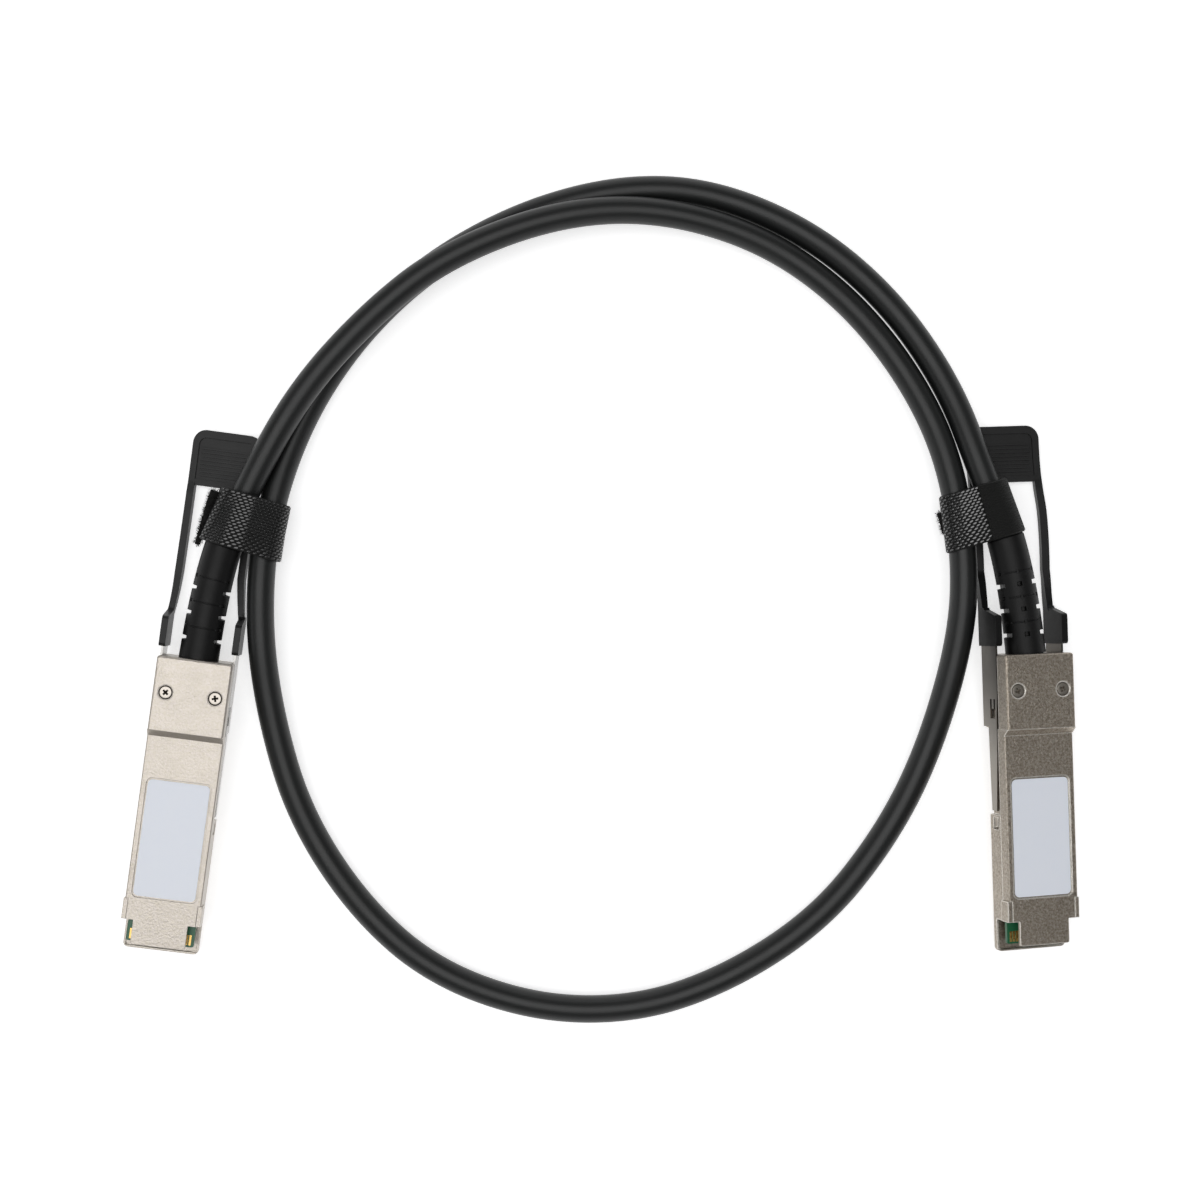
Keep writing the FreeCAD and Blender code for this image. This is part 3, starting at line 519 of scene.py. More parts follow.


# Barrel-plated steel is bright on its crown. On the bright plug seat and recess are painted
# dark as painted shade, in the gap round the head and in the cross; on the other only duller.
plated_screw = smooth_metal("plated_steel_screw", "#B9B3AB", "#A49D94", (0.22, 0.36), 4.0, 0.15)
seat_painted_shade = smooth_metal("countersink_painted_shade", "#6E675F", "#5A544D", (0.45, 0.6), 4.0, 0.3)
clean_seat = smooth_metal("plated_countersink", "#B5AEA4", "#8F887E", (0.35, 0.5), 4.0, 0.3)
satin_screw = smooth_metal("satin_plated_screw", "#C9C2B7", "#8F877C", (0.26, 0.4), 1.6, 0.9)
screw_holder = put_in_scene("cross_recess_screw", screw_mesh())
for tag, spins, set_screws in (("a", (0.75, 0.12), screws_tree(plated_screw, seat_painted_shade)),
                               ("b", (0.45, 1.15), screws_tree(satin_screw, clean_seat))):
    origin, turn = PLUG_FRAMES[tag][0], plug_turn(tag)
    seats = bpy.data.meshes.new("screw_seats")
    seats.from_pydata([origin + turn @ Vector((side * SCREW_ACROSS, SCREW_ALONG, SCREW_HEAD_TOP))
                       for side in (-1, 1)], [], [])
    ups = seats.attributes.new("up", "FLOAT_VECTOR", "POINT")
    ups.data.foreach_set("vector", [*turn.col[2], *turn.col[2]])
    seats.attributes.new("spin", "FLOAT", "POINT").data.foreach_set("value", spins)
    mesh = grown("shell_screws_" + tag, seats, set_screws, {"Screw": screw_holder, "Size": 1.0})
    screws = put_in_scene("cross_recess_screws_" + tag, mesh)
    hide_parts("shell_screws_" + tag)
    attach(screws, "cable_assembly")
bpy.data.objects.remove(screw_holder)


# --- Pull tabs ---------------------------------------------------------------
# Each tab is one moulding in black nylon: two tall feet clipped to the slider,
# two legs and a ribbed grip. The loop is limp enough to keep the bow it was
# packed with, and its skin is dull, with a faint spark-eroded grain.
LOOP_START = 0.0822
LOOP_END = 0.1290
LOOP_CUTS = 30
# Against the share of the loop's length: how far it is set sideways, in mm, and
# how much narrower it is, as a share of its width.
LOOP_SETS = {
    "a": (((0, 0), (0.10, 0.12), (0.5, 0.2), (1, 0.2)), ((0, 0), (0.10, 0.045), (0.3, 0.068), (1, 0.070))),
    "b": (((0, 0), (0.10, 0.30), (0.25, 0.62), (0.45, 0.48), (0.68, -0.45), (0.88, -0.90), (1, -0.95)),
          ((0, 0), (0.10, 0.020), (0.45, 0.022), (0.70, 0.038), (1, 0.042))),
}


def moulding(name, colour, dark, gloss, grain_scale, strength, ior=1.42, edge_radius=0.00012):
    """Moulded, coated or baked surface, not metal: a skin of so many grains in a millimetre
    under slow clouds in colour and gloss."""
    material, tree = new_material(name)
    in_mm = pattern_in_mm(tree)
    grain = add_node(tree, "ShaderNodeTexNoise", inputs={"Scale": grain_scale, "Detail": 4.0},
                     links={"Vector": (in_mm, 0)})
    cloud = add_node(tree, "ShaderNodeTexNoise", inputs={"Scale": 0.3, "Detail": 3.0},
                     links={"Vector": (in_mm, 0)})
    edge = add_node(tree, "ShaderNodeBevel", {"samples": 4}, {"Radius": edge_radius})
    shade = add_node(tree, "ShaderNodeMix", {"data_type": "RGBA"},
                     inputs={6: linear(dark), 7: linear(colour)}, links={0: (cloud, "Fac")})
    cover(tree, (shade, 2), (cloud, "Fac"), gloss, (grain, "Fac"), (strength, 0.0001), {"IOR": ior},
          edge=(edge, 0))
    return material


def sliced_copy(node, origin, yaw):
    """A welded copy of a CAD node, cut across at even steps so that the loop can bow smoothly."""
    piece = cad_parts[node]
    bm = bmesh.new()
    spots = [bm.verts.new(piece.matrix_world @ v.co) for v in piece.data.vertices]
    for polygon in piece.data.polygons:
        bm.faces.new([spots[k] for k in polygon.vertices])
    bmesh.ops.remove_doubles(bm, verts=bm.verts, dist=1e-7)
    along = Matrix.Rotation(yaw, 3, "Z") @ Vector((0, 1, 0))
    for k in range(LOOP_CUTS):
        level = LOOP_START + (LOOP_END - LOOP_START) * k / LOOP_CUTS
        bmesh.ops.bisect_plane(bm, geom=bm.verts[:] + bm.edges[:] + bm.faces[:],
                               plane_co=origin + along * level, plane_no=along)
    return mesh_of(bm, node, turn_out=False)


def bow_loop_tree(material, sets, narrowing):
    """Moves a loop sideways and narrows it, by amounts that change along it."""
    tree, given = open_tree("bow_loop", [("Loop", "Geometry"), ("Origin", "Vector"), ("Yaw", "Float")],
                            "Bowed")
    spot = add_node(tree, "GeometryNodeInputPosition")
    back = add_node(tree, "ShaderNodeMath", {"operation": "MULTIPLY"}, {1: -1.0}, {0: (given, "Yaw")})
    local = add_node(tree, "ShaderNodeVectorRotate", {"rotation_type": "Z_AXIS"},
                     links={"Vector": (spot, 0), "Center": (given, "Origin"), "Angle": (back, 0)})
    apart = add_node(tree, "ShaderNodeVectorMath", {"operation": "SUBTRACT"},
                     links={0: (local, 0), 1: (given, "Origin")})
    part = add_node(tree, "ShaderNodeSeparateXYZ", links={0: (apart, 0)})
    share = add_node(tree, "ShaderNodeMapRange", inputs={"From Min": LOOP_START, "From Max": LOOP_END},
                     links={"Value": (part, "Y")})
    amounts = []
    for points in (sets, narrowing):
        amount = add_node(tree, "ShaderNodeFloatCurve", links={"Value": (share, 0)})
        amount.mapping.clip_min_y, amount.mapping.clip_max_y = -2.0, 2.0
        line = amount.mapping.curves[0].points
        line[0].location, line[1].location = points[0], points[-1]
        for share_and_amount in points[1:-1]:
            line.new(*share_and_amount)
        amount.mapping.update()
        amounts.append(amount)
    set_over = add_node(tree, "ShaderNodeMath", {"operation": "MULTIPLY"}, {1: 0.001}, {0: (amounts[0], 0)})
    inwards = add_node(tree, "ShaderNodeMath", {"operation": "MULTIPLY"},
                       links={0: (amounts[1], 0), 1: (part, "X")})
    sideways = add_node(tree, "ShaderNodeMath", {"operation": "SUBTRACT"},
                        links={0: (set_over, 0), 1: (inwards, 0)})
    step = add_node(tree, "ShaderNodeCombineXYZ", links={"X": (sideways, 0)})
    offset = add_node(tree, "ShaderNodeVectorRotate", {"rotation_type": "Z_AXIS"},
                      links={"Vector": (step, 0), "Angle": (given, "Yaw")})
    bowed = add_node(tree, "GeometryNodeSetPosition",
                     links={"Geometry": (given, "Loop"), "Offset": (offset, 0)})
    return close_tree(tree, (bowed, 0), material)


# Both tabs are the same nylon; the second is a darker, less glossy copy, painted shade for its roll away from
# the overhead lamp.
black_nylon = {
    "a": moulding("moulded_black_nylon", "#171717", "#0E0E0E", (0.38, 0.48), 5.0, 0.25, 1.38, 0.00005),
    "b": moulding("moulded_black_nylon_painted_shade", "#0F0F0F", "#080808", (0.40, 0.50), 5.0, 0.25, 1.32, 0.00005),
}
for tag, (sets, narrowing) in LOOP_SETS.items():
    origin, yaw, _ = PLUG_FRAMES[tag]
    mesh = grown("pull_tab_" + tag, sliced_copy("pull_tab_" + tag, origin, yaw),
                 bow_loop_tree(black_nylon[tag], sets, narrowing), {"Origin": origin, "Yaw": yaw})
    crease(mesh, 35)
    loop = put_in_scene("bowed_pull_tab_" + tag, mesh)
    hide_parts("pull_tab_" + tag)
    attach(loop, "release_" + tag)


# --- Card and its parts ------------------------------------------------------
# A glass-epoxy edge card under green solder mask, with hard-gold fingers, sits
# in the open front of each plug; foil-wrapped pairs run from it to the ferrule.
# Mask, foil and moulded parts have a soft gloss, and the plated ones a clear one.
card_finishes = {
    "paddle_card_": moulding("green_solder_mask", "#1F6A45", "#185637", (0.25, 0.35), 1.5, 0.1, 1.5),
    "contact_fingers_": smooth_metal("hard_gold_plate", "#DDBB74", "#C9A259", (0.22, 0.32), 3.0, 0.1),
    "memory_chip_": moulding("moulded_chip_epoxy", "#1B1B1C", "#141415", (0.6, 0.7), 6.0, 0.3),
    "coupling_capacitors_": moulding("fired_ceramic", "#8A7358", "#7B664D", (0.45, 0.55), 4.0, 0.2, 1.5),
    "twinax_pairs_": moulding("foil_wrapped_pair", "#B8BEC8", "#A4AAB4", (0.3, 0.4), 2.0, 0.3, 1.5),
    "inner_mould_": moulding("moulded_hot_melt", "#C4BFAF", "#B5B09F", (0.4, 0.5), 2.0, 0.2, 1.5),
    "crimp_ferrule_": smooth_metal("tinned_brass", "#CDB98A", "#BCA878", (0.3, 0.4), 3.0, 0.1),
}
for tag in ("a", "b"):
    for node, finish in card_finishes.items():
        dress(node + tag, finish)


# --- Blank labels ------------------------------------------------------------
# Plain pale polyester labels, die-cut with round corners, one in each recess.
# Calendered film is dead flat and even, under a clear coat with a broad gloss.
label_film = moulding("calendered_polyester_film", "#F3F7FF", "#F0F5FF", (0.5, 0.55), 2.0, 0.02, 1.75,
                      0.00006)
for tag in ("a", "b"):
    dress("blank_label_" + tag, label_film)


# --- Boots -------------------------------------------------------------------
# A sleeve of black elastomer is moulded over the cable behind each plug. Slots
# cut through its two sides, with small windows and ring grooves between them,
# let it bend with the cable. One boot went on the other way up.
BOOT_LENGTH = 0.0290
BOOT_START = 0.0054
BOOT_TAIL = 0.0020
BOOT_TAIL_RADIUS = 0.0042
BOOT_BASE_RADIUS = 0.00485
BOOT_END_RADIUS = 0.00455
BOOT_SIDES = 144
BOOT_ROUND = 0.0006
BOOT_LIP_GAP = 0.00012
BOOT_LIP_BITE = 0.0002
BOOT_ROLLS = {"a": math.pi - 0.07, "b": 0.0}
BOOT_SLOTS = (0.0049, 0.0110, 0.0171)
SLOT_WIDTH = 0.00100
SLOT_DEPTH = 0.00140
SLOT_HALF_TURN = 1.2
TOP_WINDOW_DEPTH = 0.0010
TOP_WINDOW_HALF_TURN = 0.13
GROOVE_STEP = 0.00305
GROOVE_WIDTH = 0.00028
GROOVE_DEPTH = 0.00020
GROOVE_HALF_TURN = 0.75
WINDOW_WIDTH = 0.00080
WINDOW_DEPTH = 0.0008
WINDOW_HALF_TURN = 0.11
WINDOW_TURNS = (1.05, -1.05, 2.09, -2.09)
PIP_HEIGHT = 0.00012
PIP_HALF_TURN = 0.05
FIRST_RING = 0.0003
RING_STEP = 0.0009
EDGE_GAP = 0.00005
EDGE_STEP = 0.00001


def turned(angle, centre):
    """Angle from a centre, between minus and plus half a turn."""
    return (angle - centre + math.pi) % (2 * math.pi) - math.pi


def boot_radius(along, angle):
    """Surface of the boot at a distance from the plug and an angle from its top."""
    if along < 0:
        return BOOT_TAIL_RADIUS
    full = BOOT_BASE_RADIUS + (BOOT_END_RADIUS - BOOT_BASE_RADIUS) * along / BOOT_LENGTH
    end = BOOT_LENGTH - along
    if end < BOOT_ROUND:
        full -= BOOT_ROUND - math.sqrt(max(0.0, BOOT_ROUND ** 2 - (BOOT_ROUND - end) ** 2))
    radius = full
    from_top, from_bottom = abs(turned(angle, 0.0)), abs(turned(angle, math.pi))
    for slot in BOOT_SLOTS:
        if abs(along - slot) < SLOT_WIDTH / 2:
            for side in (math.pi / 2, -math.pi / 2):
                turn = abs(turned(angle, side))
                if turn < SLOT_HALF_TURN:
                    radius = min(radius, (full - SLOT_DEPTH) / math.cos(turn))
            if from_top < TOP_WINDOW_HALF_TURN:
                radius = full - TOP_WINDOW_DEPTH
        past_groove = abs(along - slot - GROOVE_STEP)
        if past_groove < WINDOW_WIDTH / 2:
            if any(abs(turned(angle, centre)) < WINDOW_HALF_TURN for centre in WINDOW_TURNS):
                radius = full - WINDOW_DEPTH
            elif from_top < PIP_HALF_TURN:
                radius = full + PIP_HEIGHT
            elif past_groove < GROOVE_WIDTH / 2 and min(from_top, from_bottom) < GROOVE_HALF_TURN:
                radius = full - GROOVE_DEPTH
    return radius


def straight_boot(name):
    """Rings along +Z, with close pairs at the edges of each slot, window and groove."""
    stops = [-BOOT_TAIL, -EDGE_STEP, 0.0]
    for slot in BOOT_SLOTS:
        groove = slot + GROOVE_STEP
        for centre, width in ((slot, SLOT_WIDTH), (groove, WINDOW_WIDTH), (groove, GROOVE_WIDTH)):
            near, far = centre - width / 2, centre + width / 2
            stops += [near - EDGE_GAP, near + EDGE_STEP, centre, far - EDGE_STEP, far + EDGE_GAP]
    stops += [FIRST_RING + k * RING_STEP for k in range(int(BOOT_LENGTH / RING_STEP))]
    stops += [BOOT_LENGTH - BOOT_ROUND * (1 - math.sin(k * math.pi / 12)) for k in range(7)]
    turns = [2 * math.pi * k / BOOT_SIDES for k in range(BOOT_SIDES)]
    rings = [(stop, [boot_radius(stop, turn) for turn in turns])
             for stop in sorted({round(stop, 7) for stop in stops if stop <= BOOT_LENGTH})]
    # The end turns in over the cable and back a little way inside.
    rings += [(BOOT_LENGTH, [CABLE_DIAMETER / 2 + BOOT_LIP_GAP] * BOOT_SIDES),
              (BOOT_LENGTH - BOOT_TAIL, [CABLE_DIAMETER / 2 - BOOT_LIP_BITE] * BOOT_SIDES)]
    bm = bmesh.new()
    loops = [[bm.verts.new((radius * math.sin(turn), radius * math.cos(turn), stop))
              for radius, turn in zip(radii, turns)] for stop, radii in rings]
    for lower, upper in zip(loops, loops[1:]):
        for k in range(BOOT_SIDES):
            n = (k + 1) % BOOT_SIDES
            bm.faces.new((lower[k], lower[n], upper[n], upper[k]))
    bm.faces.new(loops[0])
    bm.faces.new(loops[-1])
    return mesh_of(bm, name)


def follow_cable_tree(material):
    """Bends a straight sleeve, modelled along +Z, to lie along the cable."""
    places = [(title, "Float") for title in ("Start", "Way", "Roll")]
    tree, given = open_tree("follow_cable", [("Sleeve", "Geometry"), ("Cable line", "Object"), *places],
                            "Bent")
    line = add_node(tree, "GeometryNodeObjectInfo", {"transform_space": "RELATIVE"},
                    links={"Object": (given, "Cable line")})
    spot = add_node(tree, "GeometryNodeInputPosition")
    rolled = add_node(tree, "ShaderNodeVectorRotate", {"rotation_type": "Z_AXIS"},
                      links={"Vector": (spot, 0), "Angle": (given, "Roll")})
    part = add_node(tree, "ShaderNodeSeparateXYZ", links={0: (rolled, 0)})
    run = add_node(tree, "ShaderNodeMath", {"operation": "MULTIPLY_ADD"},
                   links={0: (part, "Z"), 1: (given, "Way"), 2: (given, "Start")})
    centre = add_node(tree, "GeometryNodeSampleCurve", {"mode": "LENGTH"},
                      links={"Curves": (line, "Geometry"), "Length": (run, 0)})
    ahead = add_node(tree, "ShaderNodeVectorMath", {"operation": "SCALE"},
                     links={0: (centre, "Tangent"), "Scale": (given, "Way")})
    side = add_node(tree, "ShaderNodeVectorMath", {"operation": "CROSS_PRODUCT"}, {1: (0, 0, 1)},
                    {0: (ahead, 0)})
    side_one = add_node(tree, "ShaderNodeVectorMath", {"operation": "NORMALIZE"}, links={0: (side, 0)})
    up = add_node(tree, "ShaderNodeVectorMath", {"operation": "CROSS_PRODUCT"},
                  links={0: (side_one, 0), 1: (ahead, 0)})
    sideways = add_node(tree, "ShaderNodeVectorMath", {"operation": "SCALE"},
                        links={0: (side_one, 0), "Scale": (part, "X")})
    upwards = add_node(tree, "ShaderNodeVectorMath", {"operation": "SCALE"},
                       links={0: (up, 0), "Scale": (part, "Y")})
    offset = add_node(tree, "ShaderNodeVectorMath", {"operation": "ADD"},
                      links={0: (sideways, 0), 1: (upwards, 0)})
    place = add_node(tree, "ShaderNodeVectorMath", {"operation": "ADD"},
                     links={0: (centre, "Position"), 1: (offset, 0)})
    bent = add_node(tree, "GeometryNodeSetPosition",
                    links={"Geometry": (given, "Sleeve"), "Position": (place, 0)})
    # Side, up and ahead are a left-handed set, so the sleeve comes out mirrored.
    outwards = add_node(tree, "GeometryNodeFlipFaces", links={"Mesh": (bent, 0)})
    return close_tree(tree, (outwards, 0), material)


# A soft matt rubber: darker than the jacket, with a faint moulded skin.
black_elastomer = moulding("moulded_black_elastomer", "#0B0B0B", "#060606", (0.44, 0.56), 3.0, 0.3, 1.34)

# The cable's own line, as a curve for the boots and as close points for the straps.
bare_line = cable_curve.copy()
bare_line.bevel_depth = 0.0
bare_line.resolution_u = 60
cable_line = put_in_scene("cable_line", bare_line)
bpy.context.view_layer.update()
line_mesh = bpy.data.meshes.new_from_object(cable_line.evaluated_get(bpy.context.evaluated_depsgraph_get()))
line_points = [v.co.copy() for v in line_mesh.vertices]
line_run = [0.0]
for before, after in zip(line_points, line_points[1:]):
    line_run.append(line_run[-1] + (after - before).length)

follow_cable = follow_cable_tree(black_elastomer)
for tag, start, way in (("a", BOOT_START, 1.0), ("b", line_run[-1] - BOOT_START, -1.0)):
    mesh = grown("boot_" + tag, straight_boot("straight_boot"), follow_cable,
                 {"Cable line": cable_line, "Start": start, "Way": way, "Roll": BOOT_ROLLS[tag]})
    crease(mesh, 30)
    boot = put_in_scene("boot_" + tag, mesh)
    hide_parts("strain_relief_" + tag)
    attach(boot, "cable_assembly")
bpy.data.objects.remove(cable_line)


# --- Straps ------------------------------------------------------------------
# Black nylon hook tape goes round both strands and laps over itself. Its outer
# face carries close staggered rows of moulded hooks, which are smooth enough to
# glint; a napped loop end sticks out beside each strap.
STRAP_LENGTH = 0.0138
STRAP_THICK = 0.00075
STRAP_RADIUS = CABLE_DIAMETER / 2 + 0.0001
# The strand beside a plug's own lies between these distances. A direction is taken
# over a few points on each side, or over a small probe of the surface.
NEAREST_STRAND = 0.0060
FURTHEST_STRAND = 0.0140
WAY_SPAN = 3
PROBE = 0.001
# For each strap: how far it starts from the cable's end, how much more it follows
# the strand from that plug than the one beside it, the span of its loose end along
# the strands, from the strap's middle, and how far that end sticks out.
STRAP_STARTS = {"a": BOOT_START + 0.0285, "b": BOOT_START + 0.0290}
STRAP_WEIGHTS = {"a": 1.0, "b": 3.0}
FLAP_SPANS = {"a": (-0.0085, 0.0053), "b": (-0.0021, 0.0031)}
FLAP_REACHES = {"a": 0.0021, "b": 0.0009}
FLAP_STEPS = 12
FLAP_ROOT = 0.0005
FLAP_DROP = 0.0016
FLAP_CURL = 0.0003
LAP_GAP = 0.00002
# Where the lap of strap b starts on top and ends below, and where the hooks end
# under it, as shares of the way from the left strand to the right one.
LAP_TOP_SHARE = 0.62
LAP_BELOW_SHARE = 0.55
HOOK_END_SHARE = 0.60
TAPE_STEP = 0.0003
ARC_STEP = 0.06
TAPE_ROWS = 41
SELVEDGE_SHARE = 0.05
TAPE_END = 0.0004
TAPE_END_THIN = 0.35
WOVEN_WANDER = 0.00008
RAGGED_WANDER = 0.00035
HOOK_PITCH = 0.00133
HOOK_ROW = 0.00067
HOOK_MARGIN = 0.0006
HOOK_SELVEDGE = 0.0004
HOOK_SHAPE = {"Hook length": 0.00130, "Hook width": 0.00052, "Hook height": 0.00004,
              "Lean": 0.22, "Unevenness": 0.10}
PILE_SHAPE = {"Density": 18.75e6, "Fibre length": 0.0008, "Fibre width": 0.00010}


def on_cable(distance):
    """Point and direction at a distance along the cable."""
    k = min(max(bisect.bisect_left(line_run, distance), WAY_SPAN), len(line_points) - 1 - WAY_SPAN)
    share = (distance - line_run[k - 1]) / (line_run[k] - line_run[k - 1])
    return line_points[k - 1].lerp(line_points[k], share), line_way(k)


def line_way(k):
    """Direction of the cable at one of its line's points."""
    return (line_points[k + WAY_SPAN] - line_points[k - WAY_SPAN]).normalized()


def beside(point, ahead):
    """The strand that passes beside this point, where it crosses the plane across ahead."""
    best = None
    for spot, after in zip(line_points, line_points[1:]):
        gap = spot - point
        if NEAREST_STRAND < gap.length < FURTHEST_STRAND and gap.dot(ahead) * (after - point).dot(ahead) <= 0:
            if best is None or gap.length < (best - point).length:
                best = spot.lerp(after, abs(gap.dot(ahead)) / max(1e-9, abs((after - spot).dot(ahead))))
    return best


def flattened(way):
    """The direction without its rise."""
    return Vector((way.x, way.y, 0)).normalized()


def lane(start, way, ahead):
    """Where a strand, taken as straight near the strap, lies at each place z along it."""
    slope = way / way.dot(ahead)
    return lambda z: start + slope * z


def strands_at(tag):
    """Left and right strand under a strap, as lanes, and the direction along both."""
    middle, way = on_cable(STRAP_STARTS[tag] + STRAP_LENGTH / 2 if tag == "a"
                           else line_run[-1] - STRAP_STARTS[tag] - STRAP_LENGTH / 2)
    if tag == "b":
        way = -way
    partner = beside(middle, flattened(way))
    near = min(range(WAY_SPAN, len(line_points) - WAY_SPAN), key=lambda k: (line_points[k] - partner).length)
    partner_way = line_way(near)
    if partner_way.dot(way) < 0:
        partner_way = -partner_way
    ahead = flattened(way * STRAP_WEIGHTS[tag] + partner_way)
    partner = beside(middle, ahead)
    own = lane(middle, way, ahead)
    other = lane(partner - ahead * (partner - middle).dot(ahead), partner_way, ahead)
    return (own, other, ahead) if tag == "a" else (other, own, ahead)


def section_round(left, right, ahead):
    """Returns the way from a strap's section, x across, y up and z along, to its place in the scene."""
    width = (right(0) - left(0)).length

    def place(x, y, z):
        across = (right(z) - left(z)).normalized()
        up = across.cross(ahead)
        if up.z < 0:
            up = -up
        up.normalize()
        if x <= 0:
            return left(z) + across * x + up * y
        if x >= width:
            return right(z) + across * (x - width) + up * y
        return left(z).lerp(right(z), x / width) + up * y

    return place


def tape_line(corners):
    """Rounds the (x, y, radius) corners of a section line and samples it as (point, outward normal) pairs."""
    spots = []
    points = [Vector(corner[:2]) for corner in corners]
    here = points[0]
    for k in range(1, len(points)):
        is_last = k == len(points) - 1
        radius = corners[k][2]
        leave = arrive = points[k]
        if not is_last:
            into, out = (points[k] - points[k - 1]).normalized(), (points[k + 1] - points[k]).normalized()
            angle = into.angle(out)
            cut = radius * math.tan(angle / 2)
            arrive, leave = points[k] - into * cut, points[k] + out * cut
        run = arrive - here
        way = run.normalized()
        steps = max(1, int(run.length / TAPE_STEP))
        spots += [(here + run * i / steps, Vector((-way.y, way.x))) for i in range(steps + is_last)]
        if not is_last:
            bend = -1 if into.cross(out) < 0 else 1
            centre = arrive + Vector((-into.y, into.x)) * radius * bend
            steps = max(2, int(angle / ARC_STEP))
            for i in range(steps):
                normal = Vector((-into.y, into.x))
                normal.rotate(Matrix.Rotation(bend * angle * i / steps, 2))
                spots.append((centre - normal * radius * bend, normal))
        here = leave
    return spots


def tape_mesh(name, place, spots, low, high, wander, material):
    """Tape with round selvedges along (point, normal) pairs, from low to high along the
    strands, with edges that wander a little; returns it with its length up to each pair."""
    bm = bmesh.new()
    uv = bm.loops.layers.uv.new("tape")
    run = [0.0]
    for (p, _), (q, _) in zip(spots, spots[1:]):
        run.append(run[-1] + (q - p).length)
    shares = [-1 + 2 * k / (TAPE_ROWS - 1) for k in range(TAPE_ROWS)]
    both_faces = [(share, 1) for share in shares] + [(share, -1) for share in reversed(shares)]
    rings = []
    for (p, normal), d in zip(spots, run):
        ring = []
        for share, face in both_faces:
            edge = max(0.0, (abs(share) - (1 - SELVEDGE_SHARE)) / SELVEDGE_SHARE)
            lift = STRAP_THICK / 2 * math.sqrt(max(0.0, 1 - edge * edge)) * face
            end = min(d, run[-1] - d)
            if end < TAPE_END:
                lift *= TAPE_END_THIN + (1 - TAPE_END_THIN) * end / TAPE_END
            drift = noise.noise(Vector((d * 300, share * 3, 4.0))) * wander
            z = (low + high) / 2 + share * (high - low) / 2 + math.copysign(drift, share) * edge
            q = p + normal * (STRAP_THICK / 2 + lift)
            ring.append((bm.verts.new(place(q.x, q.y, z)), (d, z)))
        rings.append(ring)
    for a, b in zip(rings, rings[1:]):
        for k in range(len(a)):
            n = (k + 1) % len(a)
            corners = (a[k], a[n], b[n], b[k])
            face = bm.faces.new([vert for vert, _ in corners])
            for loop, (_, spot) in zip(face.loops, corners):
                loop[uv].uv = spot
    bm.faces.new([vert for vert, _ in rings[0]])
    bm.faces.new([vert for vert, _ in rings[-1]])
    mesh = mesh_of(bm, name)
    crease(mesh, 40)
    mesh.materials.append(material)
    return mesh, run


def weld(mesh):
    """Merges the two faces of a tape along its selvedges, where they meet."""
    bm = bmesh.new()
    bm.from_mesh(mesh)
    bmesh.ops.remove_doubles(bm, verts=bm.verts, dist=1e-7)
    bm.to_mesh(mesh)
    bm.free()
    crease(mesh, 40)


def hook_points(place, spots, run, last):
    """Staggered rows of points on the tape's outer face, each with its two directions."""
    verts, outs, alongs = [], [], []
    rows = int((STRAP_LENGTH - 2 * HOOK_SELVEDGE) / HOOK_ROW)
    for row in range(rows + 1):
        z = (row - rows / 2) * HOOK_ROW
        d = HOOK_MARGIN + (HOOK_PITCH / 2 if row % 2 else 0.0)
        while d < last:
            k = min(max(bisect.bisect_left(run, d), 1), len(run) - 1)
            share = (d - run[k - 1]) / (run[k] - run[k - 1])
            normal = spots[k - 1][1].lerp(spots[k][1], share).normalized()
            q = spots[k - 1][0].lerp(spots[k][0], share) + normal * STRAP_THICK
            base = place(q.x, q.y, z)
            step = normal * PROBE
            verts.append(base)
            outs.extend((place(q.x + step.x, q.y + step.y, z) - base).normalized())
            alongs.extend((place(q.x + step.y, q.y - step.x, z) - base).normalized())
            d += HOOK_PITCH
    mesh = bpy.data.meshes.new("hook_points")
    mesh.from_pydata(verts, [], [])
    for title, values in (("out", outs), ("along", alongs)):
        mesh.attributes.new(title, "FLOAT_VECTOR", "POINT").data.foreach_set("vector", values)
    return mesh


def hook_tree(material):
    """Sets a low flattened hook, leaning along its row, on every point."""
    sizes = [(title, "Float") for title in ("Hook length", "Hook width", "Hook height", "Lean", "Unevenness")]
    tree, given = open_tree("moulded_hooks", [("Points", "Geometry"), *sizes], "Hooks")
    bead = add_node(tree, "GeometryNodeMeshUVSphere", inputs={"Segments": 8, "Rings": 4, "Radius": 0.5})
    size = add_node(tree, "ShaderNodeCombineXYZ",
                    links={"X": (given, "Hook length"), "Y": (given, "Hook width"),
                           "Z": (given, "Hook height")})
    out = add_node(tree, "GeometryNodeInputNamedAttribute", {"data_type": "FLOAT_VECTOR"}, {"Name": "out"})
    along = add_node(tree, "GeometryNodeInputNamedAttribute", {"data_type": "FLOAT_VECTOR"},
                     {"Name": "along"})
    stand = add_node(tree, "FunctionNodeAlignRotationToVector", {"axis": "Z"},
                     links={"Vector": (out, "Attribute")})
    turn = add_node(tree, "FunctionNodeAlignRotationToVector", {"axis": "X", "pivot_axis": "Z"},
                    links={"Rotation": (stand, "Rotation"), "Vector": (along, "Attribute")})
    less = add_node(tree, "ShaderNodeMath", {"operation": "MULTIPLY"}, {1: -1.0}, {0: (given, "Unevenness")})
    uneven = add_node(tree, "FunctionNodeRandomValue", {"data_type": "FLOAT"}, {"Seed": 7},
                      {2: (less, 0), 3: (given, "Unevenness")})
    angle = add_node(tree, "ShaderNodeMath", {"operation": "ADD"}, links={0: (given, "Lean"), 1: (uneven, 1)})
    axis = add_node(tree, "ShaderNodeCombineXYZ", links={"Z": (angle, 0)})
    lean = add_node(tree, "FunctionNodeRotateRotation", {"rotation_space": "LOCAL"},
                    links={"Rotation": (turn, "Rotation"), "Rotate By": (axis, 0)})
    set_on = add_node(tree, "GeometryNodeInstanceOnPoints",
                      links={"Points": (given, "Points"), "Instance": (bead, "Mesh"),
                             "Rotation": (lean, "Rotation"), "Scale": (size, 0)})
    return close_tree(tree, (set_on, "Instances"), material, smooth=True)


